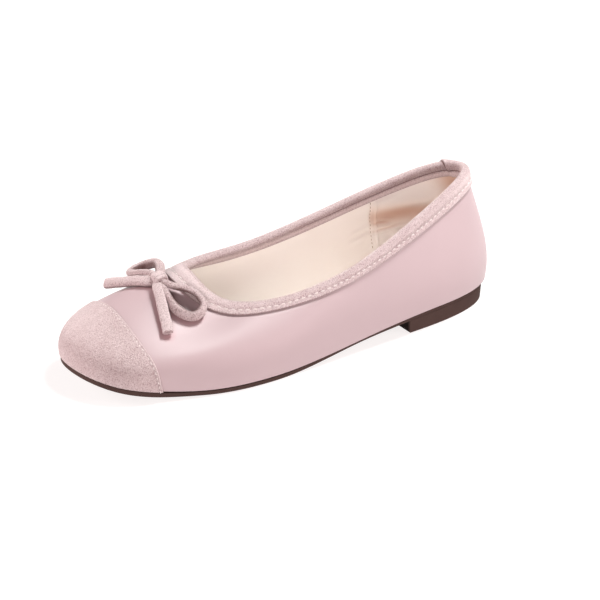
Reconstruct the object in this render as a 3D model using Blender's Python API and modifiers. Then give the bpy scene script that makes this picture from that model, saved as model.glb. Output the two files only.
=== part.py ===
"""Ballet flat, left shoe.

A lasted leather upper with a suede toe cap, a bound collar and a bow, on a thin sole with a low heel.
The toe points to -X, the outer side of the foot to -Y, and the shoe stands on z = 0.  Sizes are in metres.
"""

import math

import bmesh
import bpy
import numpy as np

MM = 0.001

# Last: the form that the upper is pulled over
SOLE_LENGTH = 0.240
BALL_WIDTH = 0.080
BACK_HEIGHT = 0.0720
INSTEP_HEIGHT = 0.0469
VAMP_LENGTH = 0.0648
BACK_LEAN = 0.0121
HEEL_RISE = 0.008
TOE_SPRING = 0.0088

# Places along the shoe where the sole changes its slope
HEEL_SEAT_FRONT = 0.0778
TREAD_BACK = -0.0298
TREAD_FRONT = -0.0587

# Thicknesses and clearances
UPPER_WALL = 0.0018
OUTSOLE_THICKNESS = 0.0024
OUTSOLE_CHAMFER = 0.0006
INSOLE_THICKNESS = 0.0020
INSOLE_CHAMFER = 0.0004
CAP_THICKNESS = 0.0008
BINDING_THICKNESS = 0.0009
GAP = 0.0003
MERGE_DISTANCE = 0.00001

# Sole edges, as distances inside the upper's lower edge; the outsole is narrowest at the waist
OUTSOLE_INSET = 0.0003
WAIST_INSET = 0.0024
WAIST_MIDDLE = 0.0250
HEEL_INSET = 0.0016
INSOLE_INSET = UPPER_WALL + 2 * GAP
HEEL_BREAST = 0.0560
HEEL_BASE_TAPER = 0.0005

# Toe cap: its back edge lies in one plane that leans towards the toe
CAP_EDGE_AT_FLOOR = -0.0880
CAP_EDGE_LEAN = 0.23

# Collar binding: how far it reaches down the wall
BINDING_OUTSIDE = 0.0076
BINDING_INSIDE = 0.0065
BINDING_THROAT_EXTRA = 0.0020
BINDING_THROAT_SPREAD = 30.0

# Bow
STRAND_RADIUS = 0.00205
TAIL_RADIUS = 0.0023
KNOT_SIZE = (0.0064, 0.0080, 0.0050)
KNOT_ROUNDING = 0.0018
KNOT_PLACE = (180.5, 15.6, 2.9)
KNOT_TILT = math.radians(-12)

# The whole shoe is moved so that the middle of its footprint is at the origin
CENTRE = (0.0003, 0.0020, 0.0)

# How finely the curved walls are divided
RIB_COUNT = 96
UPPER_ROWS = 11
CAP_COLUMNS = 30
CAP_ROWS = 8
SOLE_STATIONS = 40
HEEL_STATIONS = 16
STRAND_POINTS = 22
TAIL_POINTS = 9
STRAND_BEVEL = 2

# The upper hangs on ribs that run from the sole's edge to the topline.  Angle 0 is the back of the heel,
# 90 is on the outer side, 180 is the toe.
#   sole, top    distance from the heel's axis, outer and inner side, as a share of the ball width
#   height       topline, 0 at the instep's height and 1 at the back's
#   foot, bulge  how far the rib rises straight from the sole, and how far it leans out there, mm
#   reach, lean  length of the rib's straight run to the topline, mm, and its lean inwards, degrees
RIB_COLUMNS = ("angle", "sole_outer", "sole_inner", "top_outer", "top_inner", "height_outer", "height_inner",
               "foot", "bulge", "reach", "lean")
RIBS = (
    (0, 0.000, 0.000, 0.000, 0.000, 1.000, 1.000, 20.0, 3.8, 23.8, 14.0),
    (25, 0.215, 0.219, 0.141, 0.144, 0.952, 0.936, 20.0, 3.8, 23.9, 11.7),
    (50, 0.358, 0.326, 0.254, 0.250, 0.689, 0.677, 18.0, 3.5, 20.0, 10.8),
    (75, 0.436, 0.315, 0.366, 0.295, 0.291, 0.347, 16.0, 3.2, 16.0, 13.0),
    (95, 0.505, 0.358, 0.424, 0.327, -0.052, 0.048, 14.0, 3.0, 15.0, 22.0),
    (115, 0.538, 0.451, 0.406, 0.349, -0.327, -0.171, 14.0, 3.0, 17.0, 42.0),
    (135, 0.437, 0.449, 0.340, 0.344, -0.450, -0.227, 13.8, 3.2, 23.9, 56.0),
    (155, 0.300, 0.370, 0.192, 0.268, -0.406, -0.191, 17.3, 3.7, 34.0, 65.0),
    (180, -0.066, 0.066, -0.034, 0.034, 0.000, 0.000, 18.5, 4.1, 40.2, 78.0),
)

# Bow strands, as places on the upper: rib angle, depth below the topline in mm, height over the leather in mm
STRAND_COLUMNS = ("angle", "depth", "lift")
NEAR_LOOP = (
    (177.3, 12.5, 3.3),
    (172.5, 10.6, 3.8),
    (168.0, 8.8, 4.2),
    (163.5, 7.6, 4.2),
    (159.0, 8.3, 4.1),
    (156.5, 12.2, 3.8),
    (157.5, 16.2, 2.9),
    (160.5, 18.6, 2.6),
    (165.0, 18.2, 2.6),
    (172.6, 17.1, 2.6),
)
FAR_LOOP = (
    (184.3, 11.9, 3.9),
    (189.0, 10.2, 5.6),
    (196.0, 11.2, 6.7),
    (202.0, 16.0, 7.3),
    (203.5, 22.0, 7.2),
    (201.0, 24.4, 6.4),
    (195.0, 22.4, 5.4),
    (189.0, 18.8, 4.9),
    (184.4, 16.5, 4.6),
)
NEAR_TAIL = (
    (177.6, 20.8, 3.0),
    (174.4, 21.4, 3.0),
    (171.0, 22.7, 2.9),
    (167.8, 24.7, 2.9),
    (164.6, 27.7, 2.9),
    (161.7, 30.3, 2.9),
    (158.8, 33.4, 3.0),
)
FAR_TAIL = (
    (183.0, 20.4, 2.8),
    (188.0, 24.0, 2.8),
    (192.5, 28.0, 3.2),
    (197.5, 32.8, 4.3),
    (202.5, 37.8, 5.7),
)

# Colours are linear; roughness goes with each
FINISHES = {
    "pink_leather": ((0.78, 0.56, 0.60), 0.38),
    "pink_suede": ((0.69, 0.50, 0.52), 0.92),
    "cream_sock": ((0.83, 0.72, 0.60), 0.70),
    "brown_rubber": ((0.13, 0.08, 0.07), 0.60),
}


def closed_spline(angles, values):
    """Return a smooth closed function of an angle in degrees that passes through the values."""
    count = len(angles)
    spans = np.diff(np.append(angles, 360.0))
    slopes = (np.roll(values, -1) - values) / spans
    system = np.zeros((count, count))
    for i in range(count):
        system[i, i - 1] = spans[i - 1]
        system[i, i] = 2 * (spans[i - 1] + spans[i])
        system[i, (i + 1) % count] = spans[i]
    bends = np.linalg.solve(system, 6 * (slopes - np.roll(slopes, 1)))

    def value(angle):
        angle = np.mod(angle, 360.0)
        i = np.searchsorted(angles, angle, side="right") - 1
        after = (i + 1) % count
        done = angle - angles[i]
        left = spans[i] - done
        curve = (bends[i] * left**3 + bends[after] * done**3) / (6 * spans[i])
        start = (values[i] / spans[i] - bends[i] * spans[i] / 6) * left
        end = (values[after] / spans[i] - bends[after] * spans[i] / 6) * done
        return curve + start + end

    return value


def rib_column(name):
    return np.array([row[RIB_COLUMNS.index(name)] for row in RIBS], float)


def around(outer, inner):
    """Join a column of the outer side and one of the inner side into one closed spline."""
    angles = rib_column("angle")
    all_angles = np.concatenate([angles, 360 - angles[-2:0:-1]])
    return closed_spline(all_angles, np.concatenate([outer, inner[-2:0:-1]]))


def make_last():
    """Closed splines for each property of the ribs."""
    heights = BACK_HEIGHT - INSTEP_HEIGHT
    last = {
        "sole_y": around(-rib_column("sole_outer") * BALL_WIDTH, rib_column("sole_inner") * BALL_WIDTH),
        "top_y": around(-rib_column("top_outer") * BALL_WIDTH, rib_column("top_inner") * BALL_WIDTH),
        "top_z": around(
            INSTEP_HEIGHT + heights * rib_column("height_outer"),
            INSTEP_HEIGHT + heights * rib_column("height_inner"),
        ),
        "lean": around(np.radians(rib_column("lean")), np.radians(rib_column("lean"))),
    }
    for name in ("foot", "bulge", "reach"):
        last[name] = around(rib_column(name) * MM, rib_column(name) * MM)
    return last


LAST = make_last()


def ease(x, start, end):
    """Rise smoothly from 0 at the start to 1 at the end."""
    t = np.clip((x - start) / (end - start), 0, 1)
    return t * t * (3 - 2 * t)


def sole_height(x):
    """Height of the upper's lower edge: heel seat, arch, flat tread and toe spring."""
    roll = np.clip((TREAD_FRONT - x) / (TREAD_FRONT + SOLE_LENGTH / 2), 0, None)
    rise = HEEL_RISE * ease(x, TREAD_BACK, HEEL_SEAT_FRONT) + TOE_SPRING * roll**2
    return OUTSOLE_THICKNESS + rise


def sole_edge(angles):
    """Points of the upper's lower edge."""
    x = SOLE_LENGTH / 2 * np.cos(np.radians(angles))
    return np.stack([x, LAST["sole_y"](angles), sole_height(x)], axis=-1)


def edge_directions(angles):
    """Directions along the sole's edge and into the shoe, seen from above."""
    step = 0.25
    along = sole_edge(angles + step) - sole_edge(angles - step)
    along[..., 2] = 0
    along /= np.linalg.norm(along, axis=-1, keepdims=True)
    inwards = np.stack([along[..., 1], -along[..., 0], np.zeros_like(angles)], axis=-1)
    return along, inwards


def rib_handles(angles):
    """Four control points for each rib, from the sole's edge to the topline."""
    sole = sole_edge(angles)
    along, inwards = edge_directions(angles)
    x_back = SOLE_LENGTH / 2 - BACK_LEAN
    x_throat = VAMP_LENGTH - SOLE_LENGTH / 2
    x = (x_back + x_throat) / 2 + (x_back - x_throat) / 2 * np.cos(np.radians(angles))
    top = np.stack([x, LAST["top_y"](angles), LAST["top_z"](angles)], axis=-1)
    slide = along * ((top - sole) * along).sum(axis=-1, keepdims=True) / 3
    up = np.array([0.0, 0.0, 1.0])
    lean = LAST["lean"](angles)[..., None]
    low = sole + slide + up * LAST["foot"](angles)[..., None] - inwards * LAST["bulge"](angles)[..., None]
    high = top - slide - (np.cos(lean) * up + np.sin(lean) * inwards) * LAST["reach"](angles)[..., None]
    return sole, low, high, top


def upper_surface(angles, shares):
    """Points of the upper's outside, at shares of the ribs from 0 at the sole to 1 at the topline."""
    sole, low, high, top = rib_handles(angles)
    t = shares[..., None]
    return (1 - t)**3 * sole + 3 * t * (1 - t)**2 * low + 3 * t**2 * (1 - t) * high + t**3 * top


def upper_normals(angles, shares):
    """Outward normals of the upper's outside."""
    turn = 0.25
    slip = 0.002
    across = upper_surface(angles + turn, shares) - upper_surface(angles - turn, shares)
    upwards = upper_surface(angles, shares + slip) - upper_surface(angles, shares - slip)
    normals = np.cross(upwards, across)
    return normals / np.linalg.norm(normals, axis=-1, keepdims=True)


def over_upper(angles, shares, lift):
    """Points at a height over the upper's outside; a negative height is inside the shoe."""
    return upper_surface(angles, shares) + upper_normals(angles, shares) * lift


def share_at_depth(angles, depths):
    """Share of each rib that lies at a distance below the topline, measured along the rib."""
    samples = np.linspace(1, 0, 81)
    shares = np.empty(len(angles))
    for i, (angle, depth) in enumerate(zip(angles, depths)):
        rib = upper_surface(np.full(len(samples), angle), samples)
        length = np.append(0, np.cumsum(np.linalg.norm(np.diff(rib, axis=0), axis=1)))
        shares[i] = np.interp(depth, length, samples)
    return shares


def add_object(name, mesh, finish):
    """Put a mesh into the shoe's collection, under the shoe's empty, with its finish."""
    piece = bpy.data.objects.new(name, mesh)
    bpy.data.collections["ballet_flat"].objects.link(piece)
    piece.parent = bpy.data.objects["ballet_flat_centre"]
    mesh.materials.append(bpy.data.materials[finish])
    return piece


def grid_mesh(name, points, closed):
    """Mesh of a grid of points; a closed grid joins its last column to its first."""
    columns, rows = points.shape[:2]
    mesh_data = bmesh.new()
    grid = [[mesh_data.verts.new(point) for point in column] for column in points]
    for i in range(columns if closed else columns - 1):
        here = grid[i]
        after = grid[(i + 1) % columns]
        for j in range(rows - 1):
            mesh_data.faces.new((here[j], here[j + 1], after[j + 1], after[j]))
    bmesh.ops.remove_doubles(mesh_data, verts=mesh_data.verts, dist=MERGE_DISTANCE)
    mesh = bpy.data.meshes.new(name)
    mesh_data.to_mesh(mesh)
    mesh_data.free()
    mesh.shade_smooth()
    return mesh


def loft_mesh(name, sections):
    """Mesh of closed sections joined one to the next, with both ends filled."""
    mesh_data = bmesh.new()
    loops = [[mesh_data.verts.new(point) for point in section] for section in sections]
    count = len(loops[0])
    for here, after in zip(loops, loops[1:]):
        for j in range(count):
            k = (j + 1) % count
            mesh_data.faces.new((here[j], here[k], after[k], after[j]))
    mesh_data.faces.new(loops[0])
    mesh_data.faces.new(loops[-1])
    bmesh.ops.recalc_face_normals(mesh_data, faces=mesh_data.faces)
    mesh = bpy.data.meshes.new(name)
    mesh_data.to_mesh(mesh)
    mesh_data.free()
    return mesh


def thicken(piece, thickness, side):
    """Give an open surface its thickness, to the side that its faces look at or away from it."""
    wall = piece.modifiers.new("wall", "SOLIDIFY")
    wall.thickness = thickness
    wall.offset = side
    wall.use_even_offset = True
    wall.use_quality_normals = True


def make_upper():
    angles = np.arange(RIB_COUNT) * 360 / RIB_COUNT
    shares = np.linspace(0, 1, UPPER_ROWS + 1)
    angle_grid, share_grid = np.meshgrid(angles, shares, indexing="ij")
    upper = add_object("upper", grid_mesh("upper", upper_surface(angle_grid, share_grid), True), "pink_leather")
    thicken(upper, UPPER_WALL, -1)


def cap_share(angle):
    """Share of a rib at which it meets the plane of the cap's back edge."""
    shares = np.linspace(0, 1, 101)
    rib = over_upper(np.full(len(shares), angle), shares, GAP)
    behind = rib[:, 0] - (CAP_EDGE_AT_FLOOR - CAP_EDGE_LEAN * rib[:, 2])
    return np.interp(0, behind, shares)


def make_toe_cap():
    wide = np.linspace(90, 270, 721)
    covered = wide[[cap_share(angle) > 0.002 for angle in wide]]
    angles = np.linspace(covered[0], covered[-1], CAP_COLUMNS + 1)
    edge = np.array([cap_share(angle) for angle in angles])
    shares = edge[:, None] * np.linspace(0, 1, CAP_ROWS + 1)
    angle_grid = np.repeat(angles[:, None], CAP_ROWS + 1, axis=1)
    cap = add_object("toe_cap", grid_mesh("toe_cap", over_upper(angle_grid, shares, GAP), False), "pink_suede")
    thicken(cap, CAP_THICKNESS, 1)


def binding_width(angles):
    """Outside width of the binding, a little more at the throat."""
    spread = np.clip(np.abs(angles - 180) / BINDING_THROAT_SPREAD, 0, 1)
    return BINDING_OUTSIDE + BINDING_THROAT_EXTRA * (1 - spread**2)**2


def make_collar_binding():
    angles = np.arange(RIB_COUNT) * 360 / RIB_COUNT
    width = binding_width(angles)
    outside = [over_upper(angles, share_at_depth(angles, width * part), GAP) for part in (1.0, 0.5)]
    inside = [
        over_upper(angles, share_at_depth(angles, np.full(RIB_COUNT, BINDING_INSIDE * part)), -UPPER_WALL - GAP)
        for part in (0.5, 1.0)
    ]
    ends = np.ones(RIB_COUNT)
    top = upper_surface(angles, ends)
    normals = upper_normals(angles, ends)
    upwards = top - upper_surface(angles, ends - 0.01)
    upwards /= np.linalg.norm(upwards, axis=1, keepdims=True)
    radius = UPPER_WALL / 2 + GAP
    over_top = [
        top - normals * UPPER_WALL / 2 + (normals * math.cos(turn) + upwards * math.sin(turn)) * radius
        for turn in np.linspace(0, math.pi, 5)
    ]
    strip = np.stack(outside + over_top + inside, axis=1)
    binding = add_object("collar_binding", grid_mesh("collar_binding", strip, True), "pink_suede")
    thicken(binding, BINDING_THICKNESS, 1)


def outsole_inset(x):
    """How far the outsole's edge lies inside the upper's: close at the forefoot, flush with the heel block."""
    waist = (WAIST_INSET - OUTSOLE_INSET) * ease(x, TREAD_BACK, WAIST_MIDDLE)
    heel = (HEEL_INSET - WAIST_INSET) * ease(x, WAIST_MIDDLE, HEEL_BREAST)
    return OUTSOLE_INSET + waist + heel


def sole_outline(inset_at):
    """Both edges of the sole, drawn in by a distance that is a function of x, and the ends of x."""
    angles = np.linspace(0, 360, 721)
    edge = sole_edge(angles)
    inset = np.broadcast_to(inset_at(edge[:, 0]), len(angles))
    edge = edge + edge_directions(angles)[1] * inset[:, None]
    outer = edge[360::-1]
    inner = edge[360:]

    def sides(x):
        return np.interp(x, outer[:, 0], outer[:, 1]), np.interp(x, inner[:, 0], inner[:, 1])

    return sides, edge[360, 0], edge[0, 0]


def stations(toe, heel, count):
    """Places from toe to heel, closer together at both ends, just inside them."""
    turns = np.linspace(0.02, 0.98, count) * math.pi
    return (toe + heel) / 2 - (heel - toe) / 2 * np.cos(turns)


def slab_section(x, sides, bottom, top, taper):
    """Section across a sole piece: a level strip, drawn in by a taper at its lower edges."""
    outer, inner = sides(x)
    middle = (outer + inner) / 2
    shoulder = bottom + taper
    return (
        (x, outer, top), (x, middle, top), (x, inner, top), (x, inner, shoulder),
        (x, inner - taper, bottom), (x, middle, bottom), (x, outer + taper, bottom), (x, outer, shoulder),
    )


def make_outsole():
    sides, toe, heel = sole_outline(outsole_inset)
    sections = []
    for x in stations(toe, heel, SOLE_STATIONS):
        top = sole_height(x) - GAP
        bottom = sole_height(x) - OUTSOLE_THICKNESS
        sections.append(slab_section(x, sides, bottom, top, OUTSOLE_CHAMFER))
    add_object("outsole", loft_mesh("outsole", sections), "brown_rubber")


def make_heel_block():
    sides, _, heel = sole_outline(lambda x: HEEL_INSET)
    turns = np.linspace(0, 0.97, HEEL_STATIONS) * math.pi / 2
    sections = []
    for x in HEEL_BREAST + (heel - HEEL_BREAST) * np.sin(turns):
        top = sole_height(x) - OUTSOLE_THICKNESS - GAP
        sections.append(slab_section(x, sides, 0.0, top, HEEL_BASE_TAPER))
    add_object("heel_block", loft_mesh("heel_block", sections), "brown_rubber")


def make_insole():
    sides, toe, heel = sole_outline(lambda x: INSOLE_INSET)
    sections = []
    for x in stations(toe, heel, SOLE_STATIONS):
        bottom = sole_height(x)
        sections.append(slab_section(x, sides, bottom, bottom + INSOLE_THICKNESS, INSOLE_CHAMFER))
    add_object("insole", loft_mesh("insole", sections), "cream_sock")


def strand_route(rows, count):
    """Points along a smooth curve through places over the upper."""
    places = dict(zip(STRAND_COLUMNS, np.array(rows, float).T))
    shares = share_at_depth(places["angle"], places["depth"] * MM)
    knots = over_upper(places["angle"], shares, places["lift"][:, None] * MM)
    padded = np.vstack([2 * knots[0] - knots[1], knots, 2 * knots[-1] - knots[-2]])
    route = []
    for place in np.linspace(0, len(knots) - 1, count):
        i = min(int(place), len(knots) - 2)
        t = place - i
        before, start, end, after = padded[i:i + 4]
        slope_in = (end - before) / 2
        slope_out = (after - start) / 2
        blend = t * t * (3 - 2 * t)
        turn = slope_in * t * (1 - t)**2 - slope_out * t * t * (1 - t)
        route.append(start * (1 - blend) + end * blend + turn)
    return route


def make_strand(name, rows, radius, count):
    """Rolled strip of the bow, as a round cord with filled ends."""
    curve = bpy.data.curves.new(name, "CURVE")
    curve.dimensions = "3D"
    curve.bevel_depth = radius
    curve.bevel_resolution = STRAND_BEVEL
    curve.use_fill_caps = True
    spline = curve.splines.new("POLY")
    route = strand_route(rows, count)
    spline.points.add(len(route) - 1)
    for point, place in zip(spline.points, route):
        point.co = (*place, 1.0)
    add_object(name, curve, "pink_suede")


def make_bow_knot():
    angle, depth, lift = (np.array([value]) for value in KNOT_PLACE)
    place = over_upper(angle, share_at_depth(angle, depth * MM), lift * MM)[0]
    mesh_data = bmesh.new()
    bmesh.ops.create_cube(mesh_data, size=1.0)
    bmesh.ops.scale(mesh_data, vec=KNOT_SIZE, verts=mesh_data.verts)
    mesh = bpy.data.meshes.new("bow_knot")
    mesh_data.to_mesh(mesh)
    mesh_data.free()
    mesh.shade_smooth()
    knot = add_object("bow_knot", mesh, "pink_suede")
    knot.location = place
    knot.rotation_euler = (0.0, KNOT_TILT, 0.0)
    rounding = knot.modifiers.new("rounding", "BEVEL")
    rounding.width = KNOT_ROUNDING
    rounding.segments = 3


def make_bow():
    make_bow_knot()
    make_strand("bow_loop_near", NEAR_LOOP, STRAND_RADIUS, STRAND_POINTS)
    make_strand("bow_loop_far", FAR_LOOP, STRAND_RADIUS, STRAND_POINTS)
    make_strand("bow_tail_near", NEAR_TAIL, TAIL_RADIUS, TAIL_POINTS)
    make_strand("bow_tail_far", FAR_TAIL, TAIL_RADIUS, TAIL_POINTS)


def clear_scene():
    for old in list(bpy.data.objects):
        bpy.data.objects.remove(old, do_unlink=True)


def make_finishes():
    for name, (colour, roughness) in FINISHES.items():
        material = bpy.data.materials.new(name)
        material.use_nodes = True
        shader = material.node_tree.nodes["Principled BSDF"]
        shader.inputs["Base Color"].default_value = (*colour, 1.0)
        shader.inputs["Roughness"].default_value = roughness
        shader.inputs["Metallic"].default_value = 0.0


def make_groups():
    shoe = bpy.data.collections.new("ballet_flat")
    bpy.context.scene.collection.children.link(shoe)
    centre = bpy.data.objects.new("ballet_flat_centre", None)
    centre.location = CENTRE
    shoe.objects.link(centre)


def main():
    clear_scene()
    make_finishes()
    make_groups()
    make_outsole()
    make_heel_block()
    make_insole()
    make_upper()
    make_toe_cap()
    make_collar_binding()
    make_bow()


main()
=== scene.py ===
"""Ballet flat, left shoe: its finished surfaces and stitches, and a studio to see them in.

The toe points to -X, the outer side of the foot to -Y, and the shoe stands on z = 0.  Sizes are in metres;
names and columns that end in mm, and the bow's places, are in millimetres.
"""

import math

import bmesh
import bpy
import numpy as np
from bpy.props import FloatProperty, FloatVectorProperty, PointerProperty
from mathutils import Matrix, Vector


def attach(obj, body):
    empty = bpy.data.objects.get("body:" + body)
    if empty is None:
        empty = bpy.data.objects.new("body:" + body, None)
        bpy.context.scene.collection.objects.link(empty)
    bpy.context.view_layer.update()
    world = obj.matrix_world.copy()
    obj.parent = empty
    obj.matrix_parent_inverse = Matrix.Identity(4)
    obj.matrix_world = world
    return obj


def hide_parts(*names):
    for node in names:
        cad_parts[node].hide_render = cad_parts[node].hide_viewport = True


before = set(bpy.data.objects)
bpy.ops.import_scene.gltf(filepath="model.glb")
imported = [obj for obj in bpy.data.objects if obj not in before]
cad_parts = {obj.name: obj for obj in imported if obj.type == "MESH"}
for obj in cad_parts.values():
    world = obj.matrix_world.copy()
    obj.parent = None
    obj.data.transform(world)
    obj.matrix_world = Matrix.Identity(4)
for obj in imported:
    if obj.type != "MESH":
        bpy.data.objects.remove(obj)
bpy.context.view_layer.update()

bl_info = {
    "name": "Ballet Flat",
    "version": (1, 0, 0),
    "blender": (4, 5, 0),
    "location": "View3D > Sidebar > Ballet Flat",
    "description": "Leather, suede, stitches and studio of a ballet flat",
    "category": "Add Mesh",
}

MM = 0.001

# Last: the form that the upper is pulled over, the same as in the solids
SOLE_LENGTH = 0.240
BALL_WIDTH = 0.080
BACK_HEIGHT = 0.0720
INSTEP_HEIGHT = 0.0469
VAMP_LENGTH = 0.0648
BACK_LEAN = 0.0121
HEEL_RISE = 0.008
TOE_SPRING = 0.0088
HEEL_SEAT_FRONT = 0.0778
TREAD_BACK = -0.0298
TREAD_FRONT = -0.0587

# Thicknesses, edges and clearances, the same as in the solids
UPPER_WALL = 0.0018
OUTSOLE_THICKNESS = 0.0024
INSOLE_THICKNESS = 0.0020
CAP_THICKNESS = 0.0008
BINDING_THICKNESS = 0.0009
GAP = 0.0003
OUTSOLE_INSET = 0.0003
WAIST_INSET = 0.0024
WAIST_MIDDLE = 0.0250
HEEL_INSET = 0.0016
INSOLE_INSET = UPPER_WALL + 2 * GAP
HEEL_BREAST = 0.0560
HEEL_BASE_TAPER = 0.0005
CAP_EDGE_AT_FLOOR = -0.0880
CAP_EDGE_LEAN = 0.23
BINDING_OUTSIDE = 0.0076
BINDING_THROAT_EXTRA = 0.0020
BINDING_THROAT_SPREAD = 30.0
STRAND_RADIUS = 0.00205
TAIL_RADIUS = 0.0023
KNOT_SIZE = (0.0064, 0.0080, 0.0050)
KNOT_TILT = math.radians(-12)

# Knot: rib angle, depth below the topline and height over the leather in mm, and how far its suede stands
# out beyond the solid's size on each side
KNOT_PLACE = (179.9, 15.0, 3.4)
KNOT_FULLNESS = 0.00035

# Outsole under the toe: how far it stands out, the share by which it is thicker, and the distances in front
# of the sole's middle where both start and where each is full
TOE_OVERHANG = 0.0009
TOE_EXTRA = 0.22
TOE_RIM_START = 0.070
TOE_OVERHANG_FULL = 0.095
TOE_EXTRA_FULL = 0.105

# Outsole and sock: how far their edges are rounded, how far in a groove follows the outsole's rim underneath
# and how far the sock rises in its middle
OUTSOLE_ROUND = 0.0003
OUTSOLE_GROOVE_INSET = 0.0045
SOCK_ROUND = 0.0007
SOCK_CROWN = 0.0004

# Heel block: how far its lower edge is rounded, and the points of its outline along the round side; those
# after them cross the breast
HEEL_ROUND = 0.0004
HEEL_SIDE_POINTS = 161

# Binding inside the shoe: its width at the heel, what is added towards the throat and the rib angles from
# the heel between which that is added
BINDING_INSIDE = 0.0060
BINDING_INSIDE_EXTRA = 0.0056
BINDING_INSIDE_SPREAD = (60.0, 128.0)

# The middle of the footprint is at the origin
CENTRE = Vector((0.0003, 0.0020, 0.0))

# Ribs of the upper, from the sole's edge to the topline, the same as in the solids.  Angle 0 is the back of
# the heel, 90 the outer side and 180 the toe.  The next columns are shares of the ball width and of the
# back's height over the instep, then foot, bulge and reach are in mm and lean in degrees.
RIB_COLUMNS = ("angle", "sole_outer", "sole_inner", "top_outer", "top_inner", "height_outer", "height_inner",
               "foot", "bulge", "reach", "lean")
RIBS = (
    (0, 0.000, 0.000, 0.000, 0.000, 1.000, 1.000, 20.0, 3.8, 23.8, 14.0),
    (25, 0.215, 0.219, 0.141, 0.144, 0.952, 0.936, 20.0, 3.8, 23.9, 11.7),
    (50, 0.358, 0.326, 0.254, 0.250, 0.689, 0.677, 18.0, 3.5, 20.0, 10.8),
    (75, 0.436, 0.315, 0.366, 0.295, 0.291, 0.347, 16.0, 3.2, 16.0, 13.0),
    (95, 0.505, 0.358, 0.424, 0.327, -0.052, 0.048, 14.0, 3.0, 15.0, 22.0),
    (115, 0.538, 0.451, 0.406, 0.349, -0.327, -0.171, 14.0, 3.0, 17.0, 42.0),
    (135, 0.437, 0.449, 0.340, 0.344, -0.450, -0.227, 13.8, 3.2, 23.9, 56.0),
    (155, 0.300, 0.370, 0.192, 0.268, -0.406, -0.191, 17.3, 3.7, 34.0, 65.0),
    (180, -0.066, 0.066, -0.034, 0.034, 0.000, 0.000, 18.5, 4.1, 40.2, 78.0),
)

# Bow strands, as places on the upper: rib angle, depth below the topline and height over the leather, mm,
# and the strip's roll in degrees, 0 where its wide side stands up from the leather and 90 where it lies on
# it.  Each starts or ends inside the knot.
NEAR_LOOP = (
    (179.6, 15.6, 2.6, 40),
    (176.0, 14.5, 3.4, 35),
    (173.7, 13.3, 3.7, 30),
    (171.6, 11.6, 3.9, 30),
    (168.3, 8.7, 4.2, 30),
    (164.4, 7.0, 4.2, 30),
    (160.1, 7.8, 4.1, 28),
    (157.5, 9.9, 4.0, 26),
    (156.3, 14.0, 3.5, 30),
    (157.3, 17.6, 2.9, 40),
    (160.1, 19.4, 2.7, 50),
    (164.0, 20.0, 2.6, 36),
    (167.7, 19.2, 2.4, 10),
    (171.8, 17.6, 2.2, -10),
    (175.4, 16.4, 2.2, -10),
    (179.6, 15.8, 2.2, -10),
)
FAR_LOOP = (
    (180.5, 13.4, 2.9, 70),
    (184.3, 11.9, 3.9, 70),
    (189.0, 10.2, 5.2, 66),
    (196.0, 11.2, 6.0, 40),
    (202.0, 16.0, 6.4, 24),
    (203.5, 22.0, 6.6, 40),
    (201.0, 24.4, 6.4, 75),
    (195.0, 22.4, 5.4, 65),
    (189.0, 18.8, 4.9, 60),
    (184.4, 16.5, 4.6, 55),
    (180.5, 15.8, 3.4, 55),
)
NEAR_TAIL = (
    (180.1, 16.0, 2.2, -72),
    (177.7, 17.9, 3.2, -72),
    (175.0, 19.6, 3.4, -72),
    (172.0, 21.2, 3.3, -74),
    (169.1, 23.3, 3.1, -76),
    (166.4, 25.5, 3.0, -78),
    (163.6, 28.0, 2.9, -78),
    (161.0, 30.6, 2.9, -78),
    (158.8, 33.4, 2.9, -78),
)
FAR_TAIL = (
    (181.0, 17.0, 2.4, 60),
    (183.0, 20.4, 2.8, 52),
    (188.0, 24.0, 2.8, 46),
    (192.5, 28.0, 3.2, 42),
    (197.5, 32.8, 4.3, 38),
    (202.5, 37.8, 5.7, 36),
)

# Half the width and half the thickness of the bow's rolled strips, mm
LOOP_SECTION_MM = (2.50, 1.70)
TAIL_SECTION_MM = (2.70, 1.70)
STRANDS = (
    ("bow_loop_near", NEAR_LOOP, STRAND_RADIUS, LOOP_SECTION_MM, False),
    ("bow_loop_far", FAR_LOOP, STRAND_RADIUS, LOOP_SECTION_MM, False),
    ("bow_tail_near", NEAR_TAIL, TAIL_RADIUS, TAIL_SECTION_MM, True),
    ("bow_tail_far", FAR_TAIL, TAIL_RADIUS, TAIL_SECTION_MM, True),
)

# Strips of the bow: squareness of their oval, the seam along them as depth, turn from the wide side and half
# width, how far they are pinched at the knot and over what share of their length
STRAND_SQUARENESS = 0.72
STRAND_SEAM = (0.10, math.radians(118), 0.14)
STRAND_PINCH = (-0.28, 0.07)

# Unevenness of a strip's width: its share, its turns along the strip in radians and where they start
STRAND_WAVES = ((0.015, 37.0, 0.0), (0.010, 99.0, 1.0))

# Rings that close a strip's cut end, as share of the strip's size and distance beyond it in mm, and the
# depth and half width of the slit in it
CUT_END_RINGS = ((0.99, 0.12), (0.95, 0.22), (0.88, 0.26), (0.7, 0.26), (0.45, 0.26), (0.2, 0.26))
CUT_END_SLIT = 0.7 * MM
CUT_END_SLIT_WIDTH = 0.28 * MM

# Knot: squareness of its section and of its length, and the fold across it as share of its length, how far
# that waves, half width, depth and painted shade; painted shade darkens the ends between two shares of its
# half length
KNOT_SQUARENESS = 0.6
KNOT_END_POWER = 3.4
KNOT_FOLD_PLACE = -0.42
KNOT_FOLD_WAVE = 0.12
KNOT_FOLD_WIDTH = 0.08
KNOT_FOLD_DEPTH = 0.05
KNOT_FOLD_SHADE = 0.35
KNOT_END_RANGE = (0.80, 0.97)
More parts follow.
